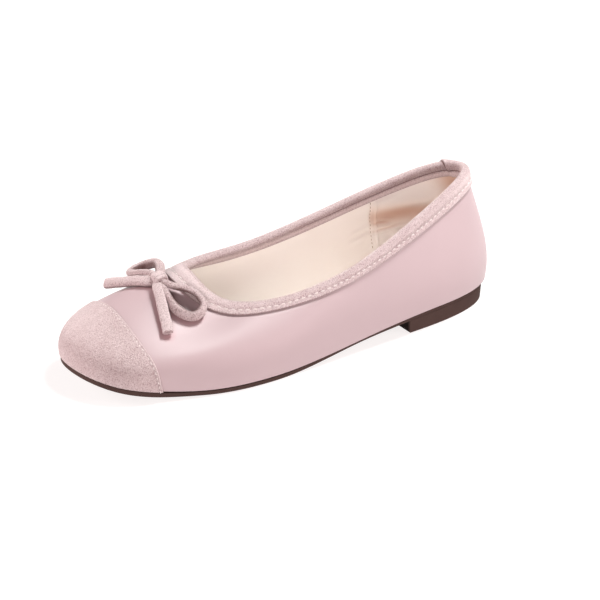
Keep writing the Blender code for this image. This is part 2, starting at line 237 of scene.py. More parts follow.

# How much painted shade darkens the suede on the loops' inner side, on the strips' underside and in creases,
# 0 to 1, and between which cosines to the loop's middle, or to the leather, a surface turns dark
LOOP_INNER_SHADE = 0.9
LOOP_INNER_RANGE = (0.1, 0.8)
UNDERSIDE_SHADE = 0.8
UNDERSIDE_RANGE = (0.2, 0.9)
CREASE_SHADE = 0.7

# Painted shade on the leather close under the bow, 0 to 1, and the distances from the middle of a strip
# between which that fades
BOW_SHADE = 0.60
BOW_SHADE_RANGE = (0.0030, 0.0056)

# Painted light that makes the suede paler on top of the bow, at the throat, round the heel and on top of
# the cap, 0 to 1, with the cosines away from the leather, the rib angles from throat and heel and the
# heights on the cap between which that changes, and how far in from the cap's edge that starts
BOW_PALENESS = 0.30
BOW_TOP_RANGE = (-0.2, 0.7)
THROAT_PALENESS = 0.40
THROAT_SPREAD = (6.0, 34.0)
HEEL_PALENESS = 0.35
HEEL_SPREAD = (20.0, 70.0)
CAP_TOP_PALENESS = 0.30
CAP_TOP_RANGE = (0.016, 0.034)
CAP_TOP_FADE = 0.02

# The leather and its lining share the solid's wall, and an overlay's underside lies this far over it
LEATHER_THICKNESS = 0.0010
LINING_THICKNESS = 0.0007
UNDERSIDE_GAP = 0.0001

# How far the leather and the cap are rounded under at the sole
FEATHER_ROUND = 0.0009

# Where the stitches lie, as distances in from the edge of what they hold down, and how far they sink into it
CAP_STITCH_INSET = 0.0014
BINDING_STITCH_DEPTH = 0.0043
BINDING_INSIDE_STITCH_DEPTH = 0.0022
STITCH_SINK = 0.0003
INSIDE_STITCH_SINK = 0.0006

# Low relief along a line: its height, less than 0 in a trough, and its half width
BINDING_PULL = (-0.00022, 0.0008)
BACK_SEAM = (-0.00025, 0.0009)
BINDING_ROLL = (0.00035, 0.0016)
BINDING_INSIDE_ROLL = (0.00025, 0.0010)
BINDING_INSIDE_GROOVE = (-0.00050, 0.00055)
LINING_STITCH_GROOVE = (-0.0003, 0.0006)
LINING_FOLD = (0.0005, 0.0005)

# Where the binding's rolls are highest: outside as a share of the stitches' depth, inside as a depth
BINDING_ROLL_SHARE = 0.40
BINDING_INSIDE_ROLL_DEPTH = 0.0006

# Groove of the binding's outside stitches: depth, what each stitch adds and half width; below it the strip
# puffs up beside each stitch, by a height at a distance and with a half width
BINDING_GROOVE = 0.00038
BINDING_STITCH_PULL = 0.00008
BINDING_GROOVE_WIDTH = 0.00065
BINDING_PUFF = 0.00006
BINDING_PUFF_PLACE = 0.0016
BINDING_PUFF_WIDTH = 0.0010

# Rounded edges of the binding and the cap, the width of the binding's cut edge and how much fuller than its
# solid the binding is over the top
BINDING_ROUND = 0.0009
BINDING_INSIDE_ROUND = 0.0004
BINDING_CUT_EDGE = 0.0006
BINDING_TOP_FULLNESS = 0.00015
CAP_ROUND = 0.0004

# Painted shade along a line on the suede: its share, less than 0 where it is paler, and its half width
# Paler along the cap's cut edge: partly the raw edge's own tone, partly a painted highlight
CAP_EDGE_SHADE = (-0.5, 0.0003)
BINDING_GROOVE_SHADE = (0.08, 0.0005)
BINDING_EDGE_SHADE = (0.6, 0.0003)
BINDING_INSIDE_GROOVE_SHADE = (0.75, 0.0004)
BINDING_INSIDE_EDGE_SHADE = (0.7, 0.0004)
BINDING_INSIDE_BAND_SHADE = (-0.45, 0.0012)
# Painted shade over the binding's rolled top inside the shoe
BINDING_INSIDE_SHADE = 0.25

# Groove of the cap's stitches: half width, depth and painted shade at the top, what is added to both near the
# sole and the heights between which that is added
CAP_GROOVE_WIDTH = 0.0004
CAP_GROOVE = 0.00010
CAP_GROOVE_EXTRA = 0.00018
CAP_GROOVE_SHADE = 0.04
CAP_GROOVE_SHADE_EXTRA = 0.26
CAP_GROOVE_RANGE = (0.006, 0.026)

# Heel lining: a patch that is sewn over the side lining, with its front edge leaning back as it goes down.
# Places of the edge, of the fold and of the stitches behind it are rib angles in degrees, and
# HEEL_LINING_DEGREE is the length of one degree there.  HEEL_LINING_STEP is how far the patch stands up,
# and HEEL_LINING_SEAM the depths at which its stitches start and end.
HEEL_LINING_ANGLE = 63.3
HEEL_LINING_LEAN_PER_MM = -0.19
HEEL_LINING_STEP = 0.0003
HEEL_LINING_STEP_WIDTH = 0.25
HEEL_LINING_FOLD = 2.6
HEEL_LINING_STITCH = 0.35
HEEL_LINING_DEGREE = 0.0016
HEEL_LINING_SEAM = (0.0072, 0.037)

# How far below the binding the lining comes free of the wall
LINING_RELEASE = 0.0025

# Folds of the slack heel lining on the inner side: start and end as rib angle and depth in mm, then height
# and half width in mm.  A negative height is a trough.
PUCKERS = (
    ((298.0, 9.2), (338.0, 20.6), 3.0, 4.6),
    ((301.0, 16.0), (331.0, 25.6), -0.4, 3.0),
    ((302.6, 19.4), (311.0, 23.4), 0.8, 1.0),
    ((301.8, 21.6), (310.0, 25.0), -0.6, 0.8),
    ((301.5, 23.8), (312.0, 27.8), 0.8, 1.2),
    ((301.5, 27.0), (317.5, 29.6), -0.6, 0.9),
    ((303.5, 29.6), (316.0, 31.0), 0.8, 1.3),
    ((294.0, 26.4), (302.6, 24.6), -0.55, 1.1),
    ((293.0, 24.2), (302.0, 21.6), 0.45, 1.2),
    ((294.0, 30.0), (303.0, 27.2), 0.40, 1.3),
)

# Painted shade where the slack lining lies in its own shade: start, end, share of painted shade and half
# width in mm
LINING_SHADES = (
    ((291.0, 14.2), (338.0, 29.0), 0.85, 6.2),
    ((339.0, 2.0), (357.0, 22.0), 0.90, 8.0),
    ((301.8, 21.6), (310.0, 25.0), 0.30, 0.8),
    ((301.5, 27.0), (317.5, 29.6), 0.30, 0.9),
)

# Overlapped ends of the binding, near the back of the heel on the inner side: rib angle of the upper end's
# edge and its slant, how far it stands up and how soon it lies down again, in degrees, and the painted shade
# in the crevice in front of it as share, place and half width in degrees.  Depths are measured down inside
# the shoe and are less than 0 over the top, as far as JOINT_OUTSIDE, where the outside starts.
JOINT_ANGLE = 341.0
JOINT_SLANT_PER_MM = 0.9
JOINT_LIFT = 0.0011
JOINT_STEP_WIDTH = 0.22
JOINT_LENGTH = 15.0
JOINT_OUTSIDE = -0.0071
JOINT_SHADE = 0.9
JOINT_SHADE_PLACE = 0.3
JOINT_SHADE_WIDTH = 0.6

# Edges of a piece that turn by more than this stay sharp
SHARP_TURN = math.radians(50)

# Soft lights: name, turn from the outer side towards the toe and height over the floor in degrees, size and
# colour
LIGHTS = (
    ("key", 278.0, 65.0, 0.36, "#F9FFFD"),
    ("rim", 135.0, 18.0, 0.7, "#FFF4F3"),
    ("fill", 45.0, 18.0, 0.7, "#FFF4F3"),
    ("side", 315.0, 20.0, 0.7, "#FFF4F3"),
)
LIGHT_DISTANCE = 1.4
LIT_POINT = Vector((0.0, 0.0, 0.03))
SURROUND_COLOUR = "#FFF0EC"

# Floor: half its width, how far it lies below the sole, its paper and the light that comes through it
FLOOR_HALF = 4.0
FLOOR_BELOW = 0.0003
FLOOR_PAPER = "#8C8C8C"
FLOOR_LIGHT = "#FFFAF9"

# The point that the camera's distance is measured from, above the footprint's middle, and how far beside it
# and below it the view is centred
CAMERA_HEIGHT = 0.030
AIM_RIGHT = 0.00714
AIM_DOWN = 0.00897


def linear(colour):
    """Turn an sRGB hex colour into linear values."""
    channels = [int(colour[i:i + 2], 16) / 255 for i in (1, 3, 5)]
    return tuple(c / 12.92 if c <= 0.04045 else ((c + 0.055) / 1.055) ** 2.4 for c in channels)


class FlatSewing(bpy.types.PropertyGroup):
    """Sizes of the stitches."""

    binding_pitch: FloatProperty(
        name="Binding pitch", description="From one stitch to the next on the binding",
        default=0.0036, min=0.001, unit="LENGTH")
    binding_length: FloatProperty(
        name="Binding stitch", description="Length of a stitch on the binding",
        default=0.0023, min=0.0005, unit="LENGTH")
    binding_thread: FloatProperty(
        name="Binding thread", description="Thickness of the thread on the binding",
        default=0.00075, min=0.0001, unit="LENGTH")
    cap_pitch: FloatProperty(
        name="Cap pitch", description="From one stitch to the next on the toe cap",
        default=0.0027, min=0.001, unit="LENGTH")
    cap_length: FloatProperty(
        name="Cap stitch", description="Length of a stitch on the toe cap",
        default=0.0018, min=0.0005, unit="LENGTH")
    cap_thread: FloatProperty(
        name="Cap thread", description="Thickness of the thread on the toe cap",
        default=0.0006, min=0.0001, unit="LENGTH")
    lining_pitch: FloatProperty(
        name="Lining pitch", description="From one stitch to the next on the lining",
        default=0.0022, min=0.001, unit="LENGTH")
    lining_length: FloatProperty(
        name="Lining stitch", description="Length of a stitch on the lining",
        default=0.0015, min=0.0005, unit="LENGTH")
    lining_thread: FloatProperty(
        name="Lining thread", description="Thickness of the thread on the lining",
        default=0.00035, min=0.0001, unit="LENGTH")


class FlatColours(bpy.types.PropertyGroup):
    """Colours of the finishes."""

    leather: FloatVectorProperty(
        name="Leather", description="Smooth leather of the upper", subtype="COLOR", default=linear("#BFA6A9"))
    # Colour of the painted shade on the leather close under the bow
    leather_painted_shade: FloatVectorProperty(
        name="Leather deep", description="Leather close under the bow", subtype="COLOR",
        default=linear("#B68589"))
    suede: FloatVectorProperty(
        name="Suede", description="Suede where the nap catches light", subtype="COLOR",
        default=linear("#DCCACA"))
    suede_shade: FloatVectorProperty(
        name="Suede shade", description="Suede between the fibres", subtype="COLOR",
        default=linear("#AF9192"))
    # Colour of the dark fibre roots, and of the painted shade in grooves, creases and under the bow's strips
    suede_roots_and_painted_shade: FloatVectorProperty(
        name="Suede deep", description="Suede in creases and grooves", subtype="COLOR",
        default=linear("#5E3C39"))
    lining: FloatVectorProperty(
        name="Lining", description="Lining and sock", subtype="COLOR", default=linear("#FCF4EE"))
    # Colour of the painted shade in the lining's folds and at the back of the heel
    lining_shade: FloatVectorProperty(
        name="Lining shade", description="Lining deep in its folds", subtype="COLOR",
        default=linear("#C89A80"))
    sole: FloatVectorProperty(
        name="Sole", description="Rubber of sole and heel", subtype="COLOR", default=linear("#503E3A"))
    thread: FloatVectorProperty(
        name="Thread", description="Thread on the toe cap and the binding", subtype="COLOR",
        default=linear("#E6D8D6"))
    # Thread inside the binding, darkened as painted shade in its groove
    tonal_thread: FloatVectorProperty(
        name="Tonal thread", description="Thread inside the binding", subtype="COLOR",
        default=linear("#8F7271"))
    lining_thread: FloatVectorProperty(
        name="Lining thread", description="Thread on the lining", subtype="COLOR", default=linear("#A68A72"))


class FlatStudio(bpy.types.PropertyGroup):
    """Camera and light."""

    azimuth: FloatProperty(
        name="Azimuth", description="Turn of the camera from the shoe's outer side towards the toe",
        default=math.radians(30.74), subtype="ANGLE")
    elevation: FloatProperty(
        name="Elevation", description="Camera above the horizon",
        default=math.radians(23.29), subtype="ANGLE")
    distance: FloatProperty(
        name="Distance", description="Camera to shoe", default=1.2, min=0.1, unit="LENGTH")
    lens: FloatProperty(
        name="Lens", description="Focal length", default=142.1, min=1.0, unit="CAMERA")
    key: FloatProperty(
        name="Key light", description="High light from the heel's side", default=25.5, min=0.0, unit="POWER")
    rim: FloatProperty(
        name="Rim light", description="Low light from behind the toe", default=15.0, min=0.0, unit="POWER")
    fill: FloatProperty(
        name="Fill light", description="Low light from the toe's near side",
        default=8.0, min=0.0, unit="POWER")
    side: FloatProperty(
        name="Side light", description="Low light from the heel's near side",
        default=7.8, min=0.0, unit="POWER")
    surround: FloatProperty(
        name="Surround", description="Light that the white room sends from all sides", default=0.05, min=0.0)
    table: FloatProperty(
        name="Table", description="Light that comes through the white table", default=0.85, min=0.0)


def closed_spline(angles, values):
    """Return a smooth closed function of an angle in degrees that passes through the values."""
    count = len(angles)
    spans = np.diff(np.append(angles, 360.0))
    slopes = (np.roll(values, -1) - values) / spans
    system = np.zeros((count, count))
    for i in range(count):
        system[i, i - 1] = spans[i - 1]
        system[i, i] = 2 * (spans[i - 1] + spans[i])
        system[i, (i + 1) % count] = spans[i]
    bends = np.linalg.solve(system, 6 * (slopes - np.roll(slopes, 1)))

    def value(angle):
        angle = np.mod(angle, 360.0)
        i = np.searchsorted(angles, angle, side="right") - 1
        after = (i + 1) % count
        done = angle - angles[i]
        left = spans[i] - done
        curve = (bends[i] * left**3 + bends[after] * done**3) / (6 * spans[i])
        start = (values[i] / spans[i] - bends[i] * spans[i] / 6) * left
        end = (values[after] / spans[i] - bends[after] * spans[i] / 6) * done
        return curve + start + end

    return value


def rib_column(name):
    """A column of the ribs' table."""
    return np.array([row[RIB_COLUMNS.index(name)] for row in RIBS], float)


def around(outer, inner):
    """Join a column of the outer side and one of the inner side into one closed spline."""
    angles = rib_column("angle")
    all_angles = np.concatenate([angles, 360 - angles[-2:0:-1]])
    return closed_spline(all_angles, np.concatenate([outer, inner[-2:0:-1]]))


def make_last():
    """Closed splines for each property of the ribs."""
    heights = BACK_HEIGHT - INSTEP_HEIGHT
    last = {
        "sole_y": around(-rib_column("sole_outer") * BALL_WIDTH, rib_column("sole_inner") * BALL_WIDTH),
        "top_y": around(-rib_column("top_outer") * BALL_WIDTH, rib_column("top_inner") * BALL_WIDTH),
        "top_z": around(
            INSTEP_HEIGHT + heights * rib_column("height_outer"),
            INSTEP_HEIGHT + heights * rib_column("height_inner"),
        ),
        "lean": around(np.radians(rib_column("lean")), np.radians(rib_column("lean"))),
    }
    for name in ("foot", "bulge", "reach"):
        last[name] = around(rib_column(name) * MM, rib_column(name) * MM)
    return last


LAST = make_last()


def ease(x, start, end):
    """Rise smoothly from 0 at the start to 1 at the end."""
    t = np.clip((x - start) / (end - start), 0, 1)
    return t * t * (3 - 2 * t)


def sole_height(x):
    """Height of the upper's lower edge: heel seat, arch, flat tread and toe spring."""
    roll = np.clip((TREAD_FRONT - x) / (TREAD_FRONT + SOLE_LENGTH / 2), 0, None)
    rise = HEEL_RISE * ease(x, TREAD_BACK, HEEL_SEAT_FRONT) + TOE_SPRING * roll**2
    return OUTSOLE_THICKNESS + rise


def sole_edge(angles):
    """Points of the upper's lower edge."""
    x = SOLE_LENGTH / 2 * np.cos(np.radians(angles))
    return np.stack([x, LAST["sole_y"](angles), sole_height(x)], axis=-1)


def edge_directions(angles):
    """Directions along the sole's edge and into the shoe, seen from above."""
    step = 0.25
    along = sole_edge(angles + step) - sole_edge(angles - step)
    along[..., 2] = 0
    along /= np.linalg.norm(along, axis=-1, keepdims=True)
    inwards = np.stack([along[..., 1], -along[..., 0], np.zeros_like(angles)], axis=-1)
    return along, inwards


def rib_handles(angles):
    """Four control points for each rib, from the sole's edge to the topline."""
    sole = sole_edge(angles)
    along, inwards = edge_directions(angles)
    x_back = SOLE_LENGTH / 2 - BACK_LEAN
    x_throat = VAMP_LENGTH - SOLE_LENGTH / 2
    x = (x_back + x_throat) / 2 + (x_back - x_throat) / 2 * np.cos(np.radians(angles))
    top = np.stack([x, LAST["top_y"](angles), LAST["top_z"](angles)], axis=-1)
    slide = along * ((top - sole) * along).sum(axis=-1, keepdims=True) / 3
    up = np.array([0.0, 0.0, 1.0])
    lean = LAST["lean"](angles)[..., None]
    low = sole + slide + up * LAST["foot"](angles)[..., None] - inwards * LAST["bulge"](angles)[..., None]
    high = top - slide - (np.cos(lean) * up + np.sin(lean) * inwards) * LAST["reach"](angles)[..., None]
    return sole, low, high, top


def upper_surface(angles, shares):
    """Points of the upper's outside, at shares of the ribs from 0 at the sole to 1 at the topline."""
    sole, low, high, top = rib_handles(angles)
    t = shares[..., None]
    return (1 - t)**3 * sole + 3 * t * (1 - t)**2 * low + 3 * t**2 * (1 - t) * high + t**3 * top


def upper_normals(angles, shares):
    """Outward normals of the upper's outside."""
    turn = 0.25
    slip = 0.002
    across = upper_surface(angles + turn, shares) - upper_surface(angles - turn, shares)
    upwards = upper_surface(angles, shares + slip) - upper_surface(angles, shares - slip)
    normals = np.cross(upwards, across)
    return normals / np.linalg.norm(normals, axis=-1, keepdims=True)


def over_upper(angles, shares, lift):
    """Points at a height over the upper's outside; a negative height is inside the shoe."""
    return upper_surface(angles, shares) + upper_normals(angles, shares) * np.asarray(lift)[..., None]


def depth_table(angle):
    """Shares of a rib from the topline down, and how far below the topline each lies along the rib."""
    shares = np.linspace(1, 0, 121)
    rib = upper_surface(np.full(len(shares), angle), shares)
    return shares, np.append(0, np.cumsum(np.linalg.norm(np.diff(rib, axis=0), axis=1)))


def share_at_depth(angles, depths):
    """Share of each rib that lies at a distance below the topline, measured along the rib.

    The depths have a row for each angle, of one or more values.
    """
    rows = []
    for angle, depth in zip(angles, depths):
        shares, length = depth_table(angle)
        rows.append(np.interp(depth, length, shares))
    return np.array(rows)


def depth_at_share(angles, shares):
    """Distance below the topline of places on the ribs."""
    rows = []
    for angle, share in zip(angles, shares):
        table, length = depth_table(angle)
        rows.append(np.interp(share, table[::-1], length[::-1]))
    return np.array(rows)


def rounded_edge(distance, radius):
    """How far a rounded edge falls away at a distance in from it."""
    left = np.clip(1 - distance / radius, 0, 1)
    return radius * (1 - np.sqrt(1 - left**2))


def dip(distance, width):
    """1 on a line, falling smoothly to 0 on both sides of it over a half width."""
    return np.exp(-(distance / width)**2)


def along_line(distance, amount, width):
    """An amount on a line that fades softly on both sides of it over a half width."""
    return amount * dip(distance, width)


def soft_step(distance, width):
    """A step from 0 to 1 at a line, softened over a width."""
    return 1 / (1 + np.exp(np.clip(-distance / width, -40, 40)))


def squared(turns, power):
    """Cosine and sine of turns round a section; a power below 1 makes the section more square."""
    both = (np.cos(turns), np.sin(turns))
    return (np.sign(part) * np.abs(part)**power for part in both)


def grid_mesh(name, points, closed_columns=True, closed_rows=True):
    """Mesh of a grid of points, which a closed direction joins end to start; faces look out of the shoe."""
    columns, rows = points.shape[:2]
    index = np.arange(columns * rows).reshape(columns, rows)
    if closed_columns:
        index = np.vstack([index, index[:1]])
    if closed_rows:
        index = np.hstack([index, index[:, :1]])
    faces = np.stack([index[:-1, :-1], index[:-1, 1:], index[1:, 1:], index[1:, :-1]], axis=-1)
    mesh = bpy.data.meshes.new(name)
    mesh.from_pydata(points.reshape(-1, 3).tolist(), [], faces.reshape(-1, 4).tolist())
    return mesh


def set_shade(mesh, shade, name="shade"):
    """Store a value at each point of a mesh: as shade, painted shade that darkens its finish, to 1, or
    paleness, mostly painted light, to -1.
    """
    mesh.attributes.new(name, "FLOAT", "POINT").data.foreach_set("value", np.clip(shade, -1, 1).ravel())


def close_mesh(mesh, merge=0.00001):
    """Join doubled points, fill the open ends and turn all faces outwards."""
    shape = bmesh.new()
    shape.from_mesh(mesh)
    bmesh.ops.remove_doubles(shape, verts=shape.verts, dist=merge)
    bmesh.ops.dissolve_degenerate(shape, edges=shape.edges, dist=merge)
    bmesh.ops.holes_fill(shape, edges=shape.edges)
    bmesh.ops.recalc_face_normals(shape, faces=shape.faces)
    shape.to_mesh(mesh)
    shape.free()
    return mesh


def finish_piece(mesh, finish, slot, *nodes):
    """Make a mesh in the last's own frame a piece of the shoe that stands for the named solids."""
    mesh.transform(Matrix.Translation(CENTRE))
    mesh.shade_smooth()
    mesh.set_sharp_from_angle(angle=SHARP_TURN)
    mesh.materials.clear()
    mesh.materials.append(finish)
    piece = bpy.data.objects.new(mesh.name, mesh)
    bpy.context.scene.collection.objects.link(piece)
    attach(piece, "root")
    if nodes:
        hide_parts(*nodes)
    return piece


def add_node(tree, kind, inputs=None, **settings):
    """Add a node with its settings; an input is a value or the output that it is linked to."""
    made = tree.nodes.new(kind)
    for name, value in settings.items():
        setattr(made, name, value)
    for name, value in (inputs or {}).items():
        if isinstance(value, bpy.types.NodeSocket):
            tree.links.new(value, made.inputs[name])
        else:
            made.inputs[name].default_value = value
    return made


def per_metre(size_mm):
    """Scale of a texture whose features are that large."""
    return 1 / (size_mm * MM)


def new_finish(name, sockets):
    """A material with constants on its shader, and its node tree, shader and object coordinates."""
    material = bpy.data.materials.new(name)
    material.use_nodes = True
    tree = material.node_tree
    shader = tree.nodes["Principled BSDF"]
    for socket, value in sockets.items():
        shader.inputs[socket].default_value = value
    return material, tree, shader, add_node(tree, "ShaderNodeTexCoord").outputs["Object"]


def leather_finish(colours):
    """Dyed nappa, plated smooth: an even tone, a satin gloss and a grain that only breaks up the highlights.

    The pores are about 0.2 mm wide, too fine to show, so the grain is drawn at 0.8 mm.  The attribute shade
    is more than 0 close under the bow, where painted shade makes the tone deeper.
    """
    material, tree, shader, coords = new_finish(
        "pink_nappa_leather", {"IOR": 1.48, "Coat Weight": 0.30, "Coat Roughness": 0.40})
    base = np.array(colours.leather)
    mottle = add_node(tree, "ShaderNodeTexNoise", {"Vector": coords, "Scale": per_metre(16.0)})
    tone = add_node(tree, "ShaderNodeMix", {
        0: mottle.outputs["Fac"], 6: (*(base * 0.975), 1.0), 7: (*np.clip(base * 1.02, 0, 1), 1.0),
    }, data_type="RGBA")
    wear = add_node(tree, "ShaderNodeTexNoise", {"Vector": coords, "Scale": per_metre(3.0), "Detail": 3.0})
    gloss = add_node(tree, "ShaderNodeMapRange", {
        "Value": wear.outputs["Fac"], "To Min": 0.42, "To Max": 0.52})
    slack = add_node(tree, "ShaderNodeTexNoise", {"Vector": coords, "Scale": per_metre(24.0), "Detail": 1.0})
    pull = add_node(tree, "ShaderNodeBump", {
        "Height": slack.outputs["Fac"], "Strength": 0.35, "Distance": 0.0006})
    pores = add_node(tree, "ShaderNodeTexNoise", {
        "Vector": coords, "Scale": per_metre(0.8), "Detail": 3.0, "Roughness": 0.6})
    grain = add_node(tree, "ShaderNodeBump", {
        "Height": pores.outputs["Fac"], "Strength": 0.25, "Distance": 0.00004,
        "Normal": pull.outputs["Normal"]})
    # The attribute shade paints shade on the leather close under the bow
    covered = add_node(tree, "ShaderNodeAttribute", attribute_name="shade")
    deep = add_node(tree, "ShaderNodeMix", {
        0: covered.outputs["Fac"], 6: tone.outputs[2], 7: (*colours.leather_painted_shade, 1.0)}, data_type="RGBA")
    tree.links.new(deep.outputs[2], shader.inputs["Base Color"])
    tree.links.new(gloss.outputs["Result"], shader.inputs["Roughness"])
    tree.links.new(grain.outputs["Normal"], shader.inputs["Normal"])
    return material


def suede_finish(colours):
    """Split suede, buffed: no gloss, a speckle of light fibre ends over darker roots, and brushed clouds.

    The fibres are about 0.1 mm apart, too fine to show, so the speckle and the dark pits between the fibres
    are drawn at 0.6 mm.  The attribute shade is 1 where it paints shade, as in a stitched groove, and less
    than 0 where the suede is paler: painted light on top of the bow, at the throat, round the heel and on top
    of the cap, a pale band inside the binding, and the cap's cut edge, partly its own tone and partly a
    painted highlight.  The attribute worn is 1 on the bow, whose nap is more open, so that its pits are
    darker.
    """
    material, tree, shader, coords = new_finish(
        "pink_split_suede", {"Roughness": 0.95, "Specular IOR Level": 0.15, "Sheen Weight": 0.35,
                             "Sheen Roughness": 0.45, "Sheen Tint": (*linear("#FBF1F0"), 1.0)})
    fibres = add_node(tree, "ShaderNodeTexNoise", {
        "Vector": coords, "Scale": per_metre(0.6), "Detail": 2.0, "Roughness": 0.7})
    clouds = add_node(tree, "ShaderNodeTexNoise", {
        "Vector": coords, "Scale": per_metre(6.0), "Detail": 3.0, "Roughness": 0.55})
    both = add_node(tree, "ShaderNodeMath", {
        0: clouds.outputs["Fac"], 1: 0.22, 2: fibres.outputs["Fac"]}, operation="MULTIPLY_ADD")
    spread = add_node(tree, "ShaderNodeMapRange", {
        "Value": both.outputs[0], "From Min": 0.36, "From Max": 0.86})
    tone = add_node(tree, "ShaderNodeMix", {
        0: spread.outputs["Result"], 6: (*colours.suede_shade, 1.0), 7: (*colours.suede, 1.0),
    }, data_type="RGBA")
    roots = add_node(tree, "ShaderNodeTexNoise", {"Vector": coords, "Scale": per_metre(0.6), "Detail": 2.0})
    pits = add_node(tree, "ShaderNodeMapRange", {
        "Value": roots.outputs["Fac"], "From Min": 0.47, "From Max": 0.33})
    worn = add_node(tree, "ShaderNodeAttribute", attribute_name="worn")
    open_nap = add_node(tree, "ShaderNodeMath", {
        0: worn.outputs["Fac"], 1: 0.28, 2: 0.20}, operation="MULTIPLY_ADD")
    depth = add_node(tree, "ShaderNodeMath", {
        0: pits.outputs["Result"], 1: open_nap.outputs[0]}, operation="MULTIPLY")
    pitted = add_node(tree, "ShaderNodeMix", {
        0: depth.outputs[0], 6: tone.outputs[2], 7: (*colours.suede_roots_and_painted_shade, 1.0)}, data_type="RGBA")
    # The attribute shade: above 0 painted shade, below 0 paler, mostly by painted light
    painted_shade_and_light = add_node(tree, "ShaderNodeAttribute", attribute_name="shade")
    painted_light_and_pale_edges = add_node(tree, "ShaderNodeMath", {0: painted_shade_and_light.outputs["Fac"], 1: -1.0}, operation="MULTIPLY")
    pale = add_node(tree, "ShaderNodeMix", {
        0: painted_light_and_pale_edges.outputs[0], 6: pitted.outputs[2], 7: (*np.clip(np.array(colours.suede) * 1.15, 0, 1), 1.0),
    }, data_type="RGBA")
    dark = add_node(tree, "ShaderNodeMix", {
        0: painted_shade_and_light.outputs["Fac"], 6: pale.outputs[2], 7: (*colours.suede_roots_and_painted_shade, 1.0)}, data_type="RGBA")
    nap = add_node(tree, "ShaderNodeBump", {
        "Height": fibres.outputs["Fac"], "Strength": 1.0, "Distance": 0.0005})
    tree.links.new(dark.outputs[2], shader.inputs["Base Color"])
    tree.links.new(nap.outputs["Normal"], shader.inputs["Normal"])
    return material


def lining_finish(colours):
    """Coated lining cloth: cream, with a soft gloss on its folds and a very fine grain.

    The threads are about 0.2 mm apart, too fine to show, so the grain is drawn at 0.6 mm.  The attribute
    shade is 1 where painted shade makes the slack lining tan in its own folds.
    """
    material, tree, shader, coords = new_finish("cream_lining", {"IOR": 1.45})
    base = np.array(colours.lining)
    mottle = add_node(tree, "ShaderNodeTexNoise", {"Vector": coords, "Scale": per_metre(12.0)})
    tone = add_node(tree, "ShaderNodeMix", {
        0: mottle.outputs["Fac"], 6: (*(base * np.array((0.98, 0.97, 0.96))), 1.0), 7: (*base, 1.0),
    }, data_type="RGBA")
    # The attribute shade paints tan shade into the lining's folds and at the back of the heel
    folded = add_node(tree, "ShaderNodeAttribute", attribute_name="shade")
    deep = add_node(tree, "ShaderNodeMix", {
        0: folded.outputs["Fac"], 6: tone.outputs[2], 7: (*colours.lining_shade, 1.0)}, data_type="RGBA")
    wear = add_node(tree, "ShaderNodeTexNoise", {"Vector": coords, "Scale": per_metre(2.0)})
    gloss = add_node(tree, "ShaderNodeMapRange", {
        "Value": wear.outputs["Fac"], "To Min": 0.48, "To Max": 0.62})
    weave = add_node(tree, "ShaderNodeTexNoise", {"Vector": coords, "Scale": per_metre(0.6), "Detail": 3.0})
    grain = add_node(tree, "ShaderNodeBump", {
        "Height": weave.outputs["Fac"], "Strength": 0.3, "Distance": 0.00006})
    tree.links.new(deep.outputs[2], shader.inputs["Base Color"])
    tree.links.new(gloss.outputs["Result"], shader.inputs["Roughness"])
    tree.links.new(grain.outputs["Normal"], shader.inputs["Normal"])
    return material


def sole_finish(colours):
    """Moulded thermoplastic rubber: dark brown and dull, a little cloudy, with fine ribs underneath.

    The attribute shade is 1 on the heel's breast, which painted shade makes darker than the sides.
    """
    material, tree, shader, coords = new_finish("brown_rubber", {"IOR": 1.5, "Specular IOR Level": 0.03})
    base = np.array(colours.sole)
    mottle = add_node(tree, "ShaderNodeTexNoise", {"Vector": coords, "Scale": per_metre(9.0), "Detail": 4.0})
    tone = add_node(tree, "ShaderNodeMix", {
        0: mottle.outputs["Fac"], 6: (*(base * 0.86), 1.0), 7: (*(base * 1.10), 1.0)}, data_type="RGBA")
    # The attribute shade paints shade on the heel's breast
    painted_breast_shade = add_node(tree, "ShaderNodeAttribute", attribute_name="shade")
    dark = add_node(tree, "ShaderNodeMix", {
        0: painted_breast_shade.outputs["Fac"], 6: tone.outputs[2], 7: (*(base * 0.15), 1.0)}, data_type="RGBA")
    wear = add_node(tree, "ShaderNodeTexNoise", {"Vector": coords, "Scale": per_metre(4.0)})
    gloss = add_node(tree, "ShaderNodeMapRange", {
        "Value": wear.outputs["Fac"], "To Min": 0.66, "To Max": 0.82})
    normal = add_node(tree, "ShaderNodeNewGeometry").outputs["Normal"]
    downwards = add_node(tree, "ShaderNodeSeparateXYZ", {0: normal}).outputs["Z"]
    underneath = add_node(tree, "ShaderNodeMath", {0: downwards, 1: -0.8}, operation="LESS_THAN")
    # At scale 1 the wave turns by 20 radians in a metre
    ribs = add_node(tree, "ShaderNodeTexWave", {
        "Vector": coords, "Scale": 2 * math.pi * per_metre(2.4) / 20.0}, bands_direction="X")
    tread = add_node(tree, "ShaderNodeMath", {
        0: ribs.outputs["Fac"], 1: underneath.outputs[0]}, operation="MULTIPLY")
    ribbed = add_node(tree, "ShaderNodeBump", {
        "Height": tread.outputs[0], "Strength": 0.6, "Distance": 0.0005})
    grit = add_node(tree, "ShaderNodeTexNoise", {"Vector": coords, "Scale": per_metre(0.5)})
    rough = add_node(tree, "ShaderNodeBump", {
        "Height": grit.outputs["Fac"], "Strength": 0.25, "Distance": 0.00008,
        "Normal": ribbed.outputs["Normal"]})
    tree.links.new(dark.outputs[2], shader.inputs["Base Color"])
    tree.links.new(gloss.outputs["Result"], shader.inputs["Roughness"])
    tree.links.new(rough.outputs["Normal"], shader.inputs["Normal"])
    return material


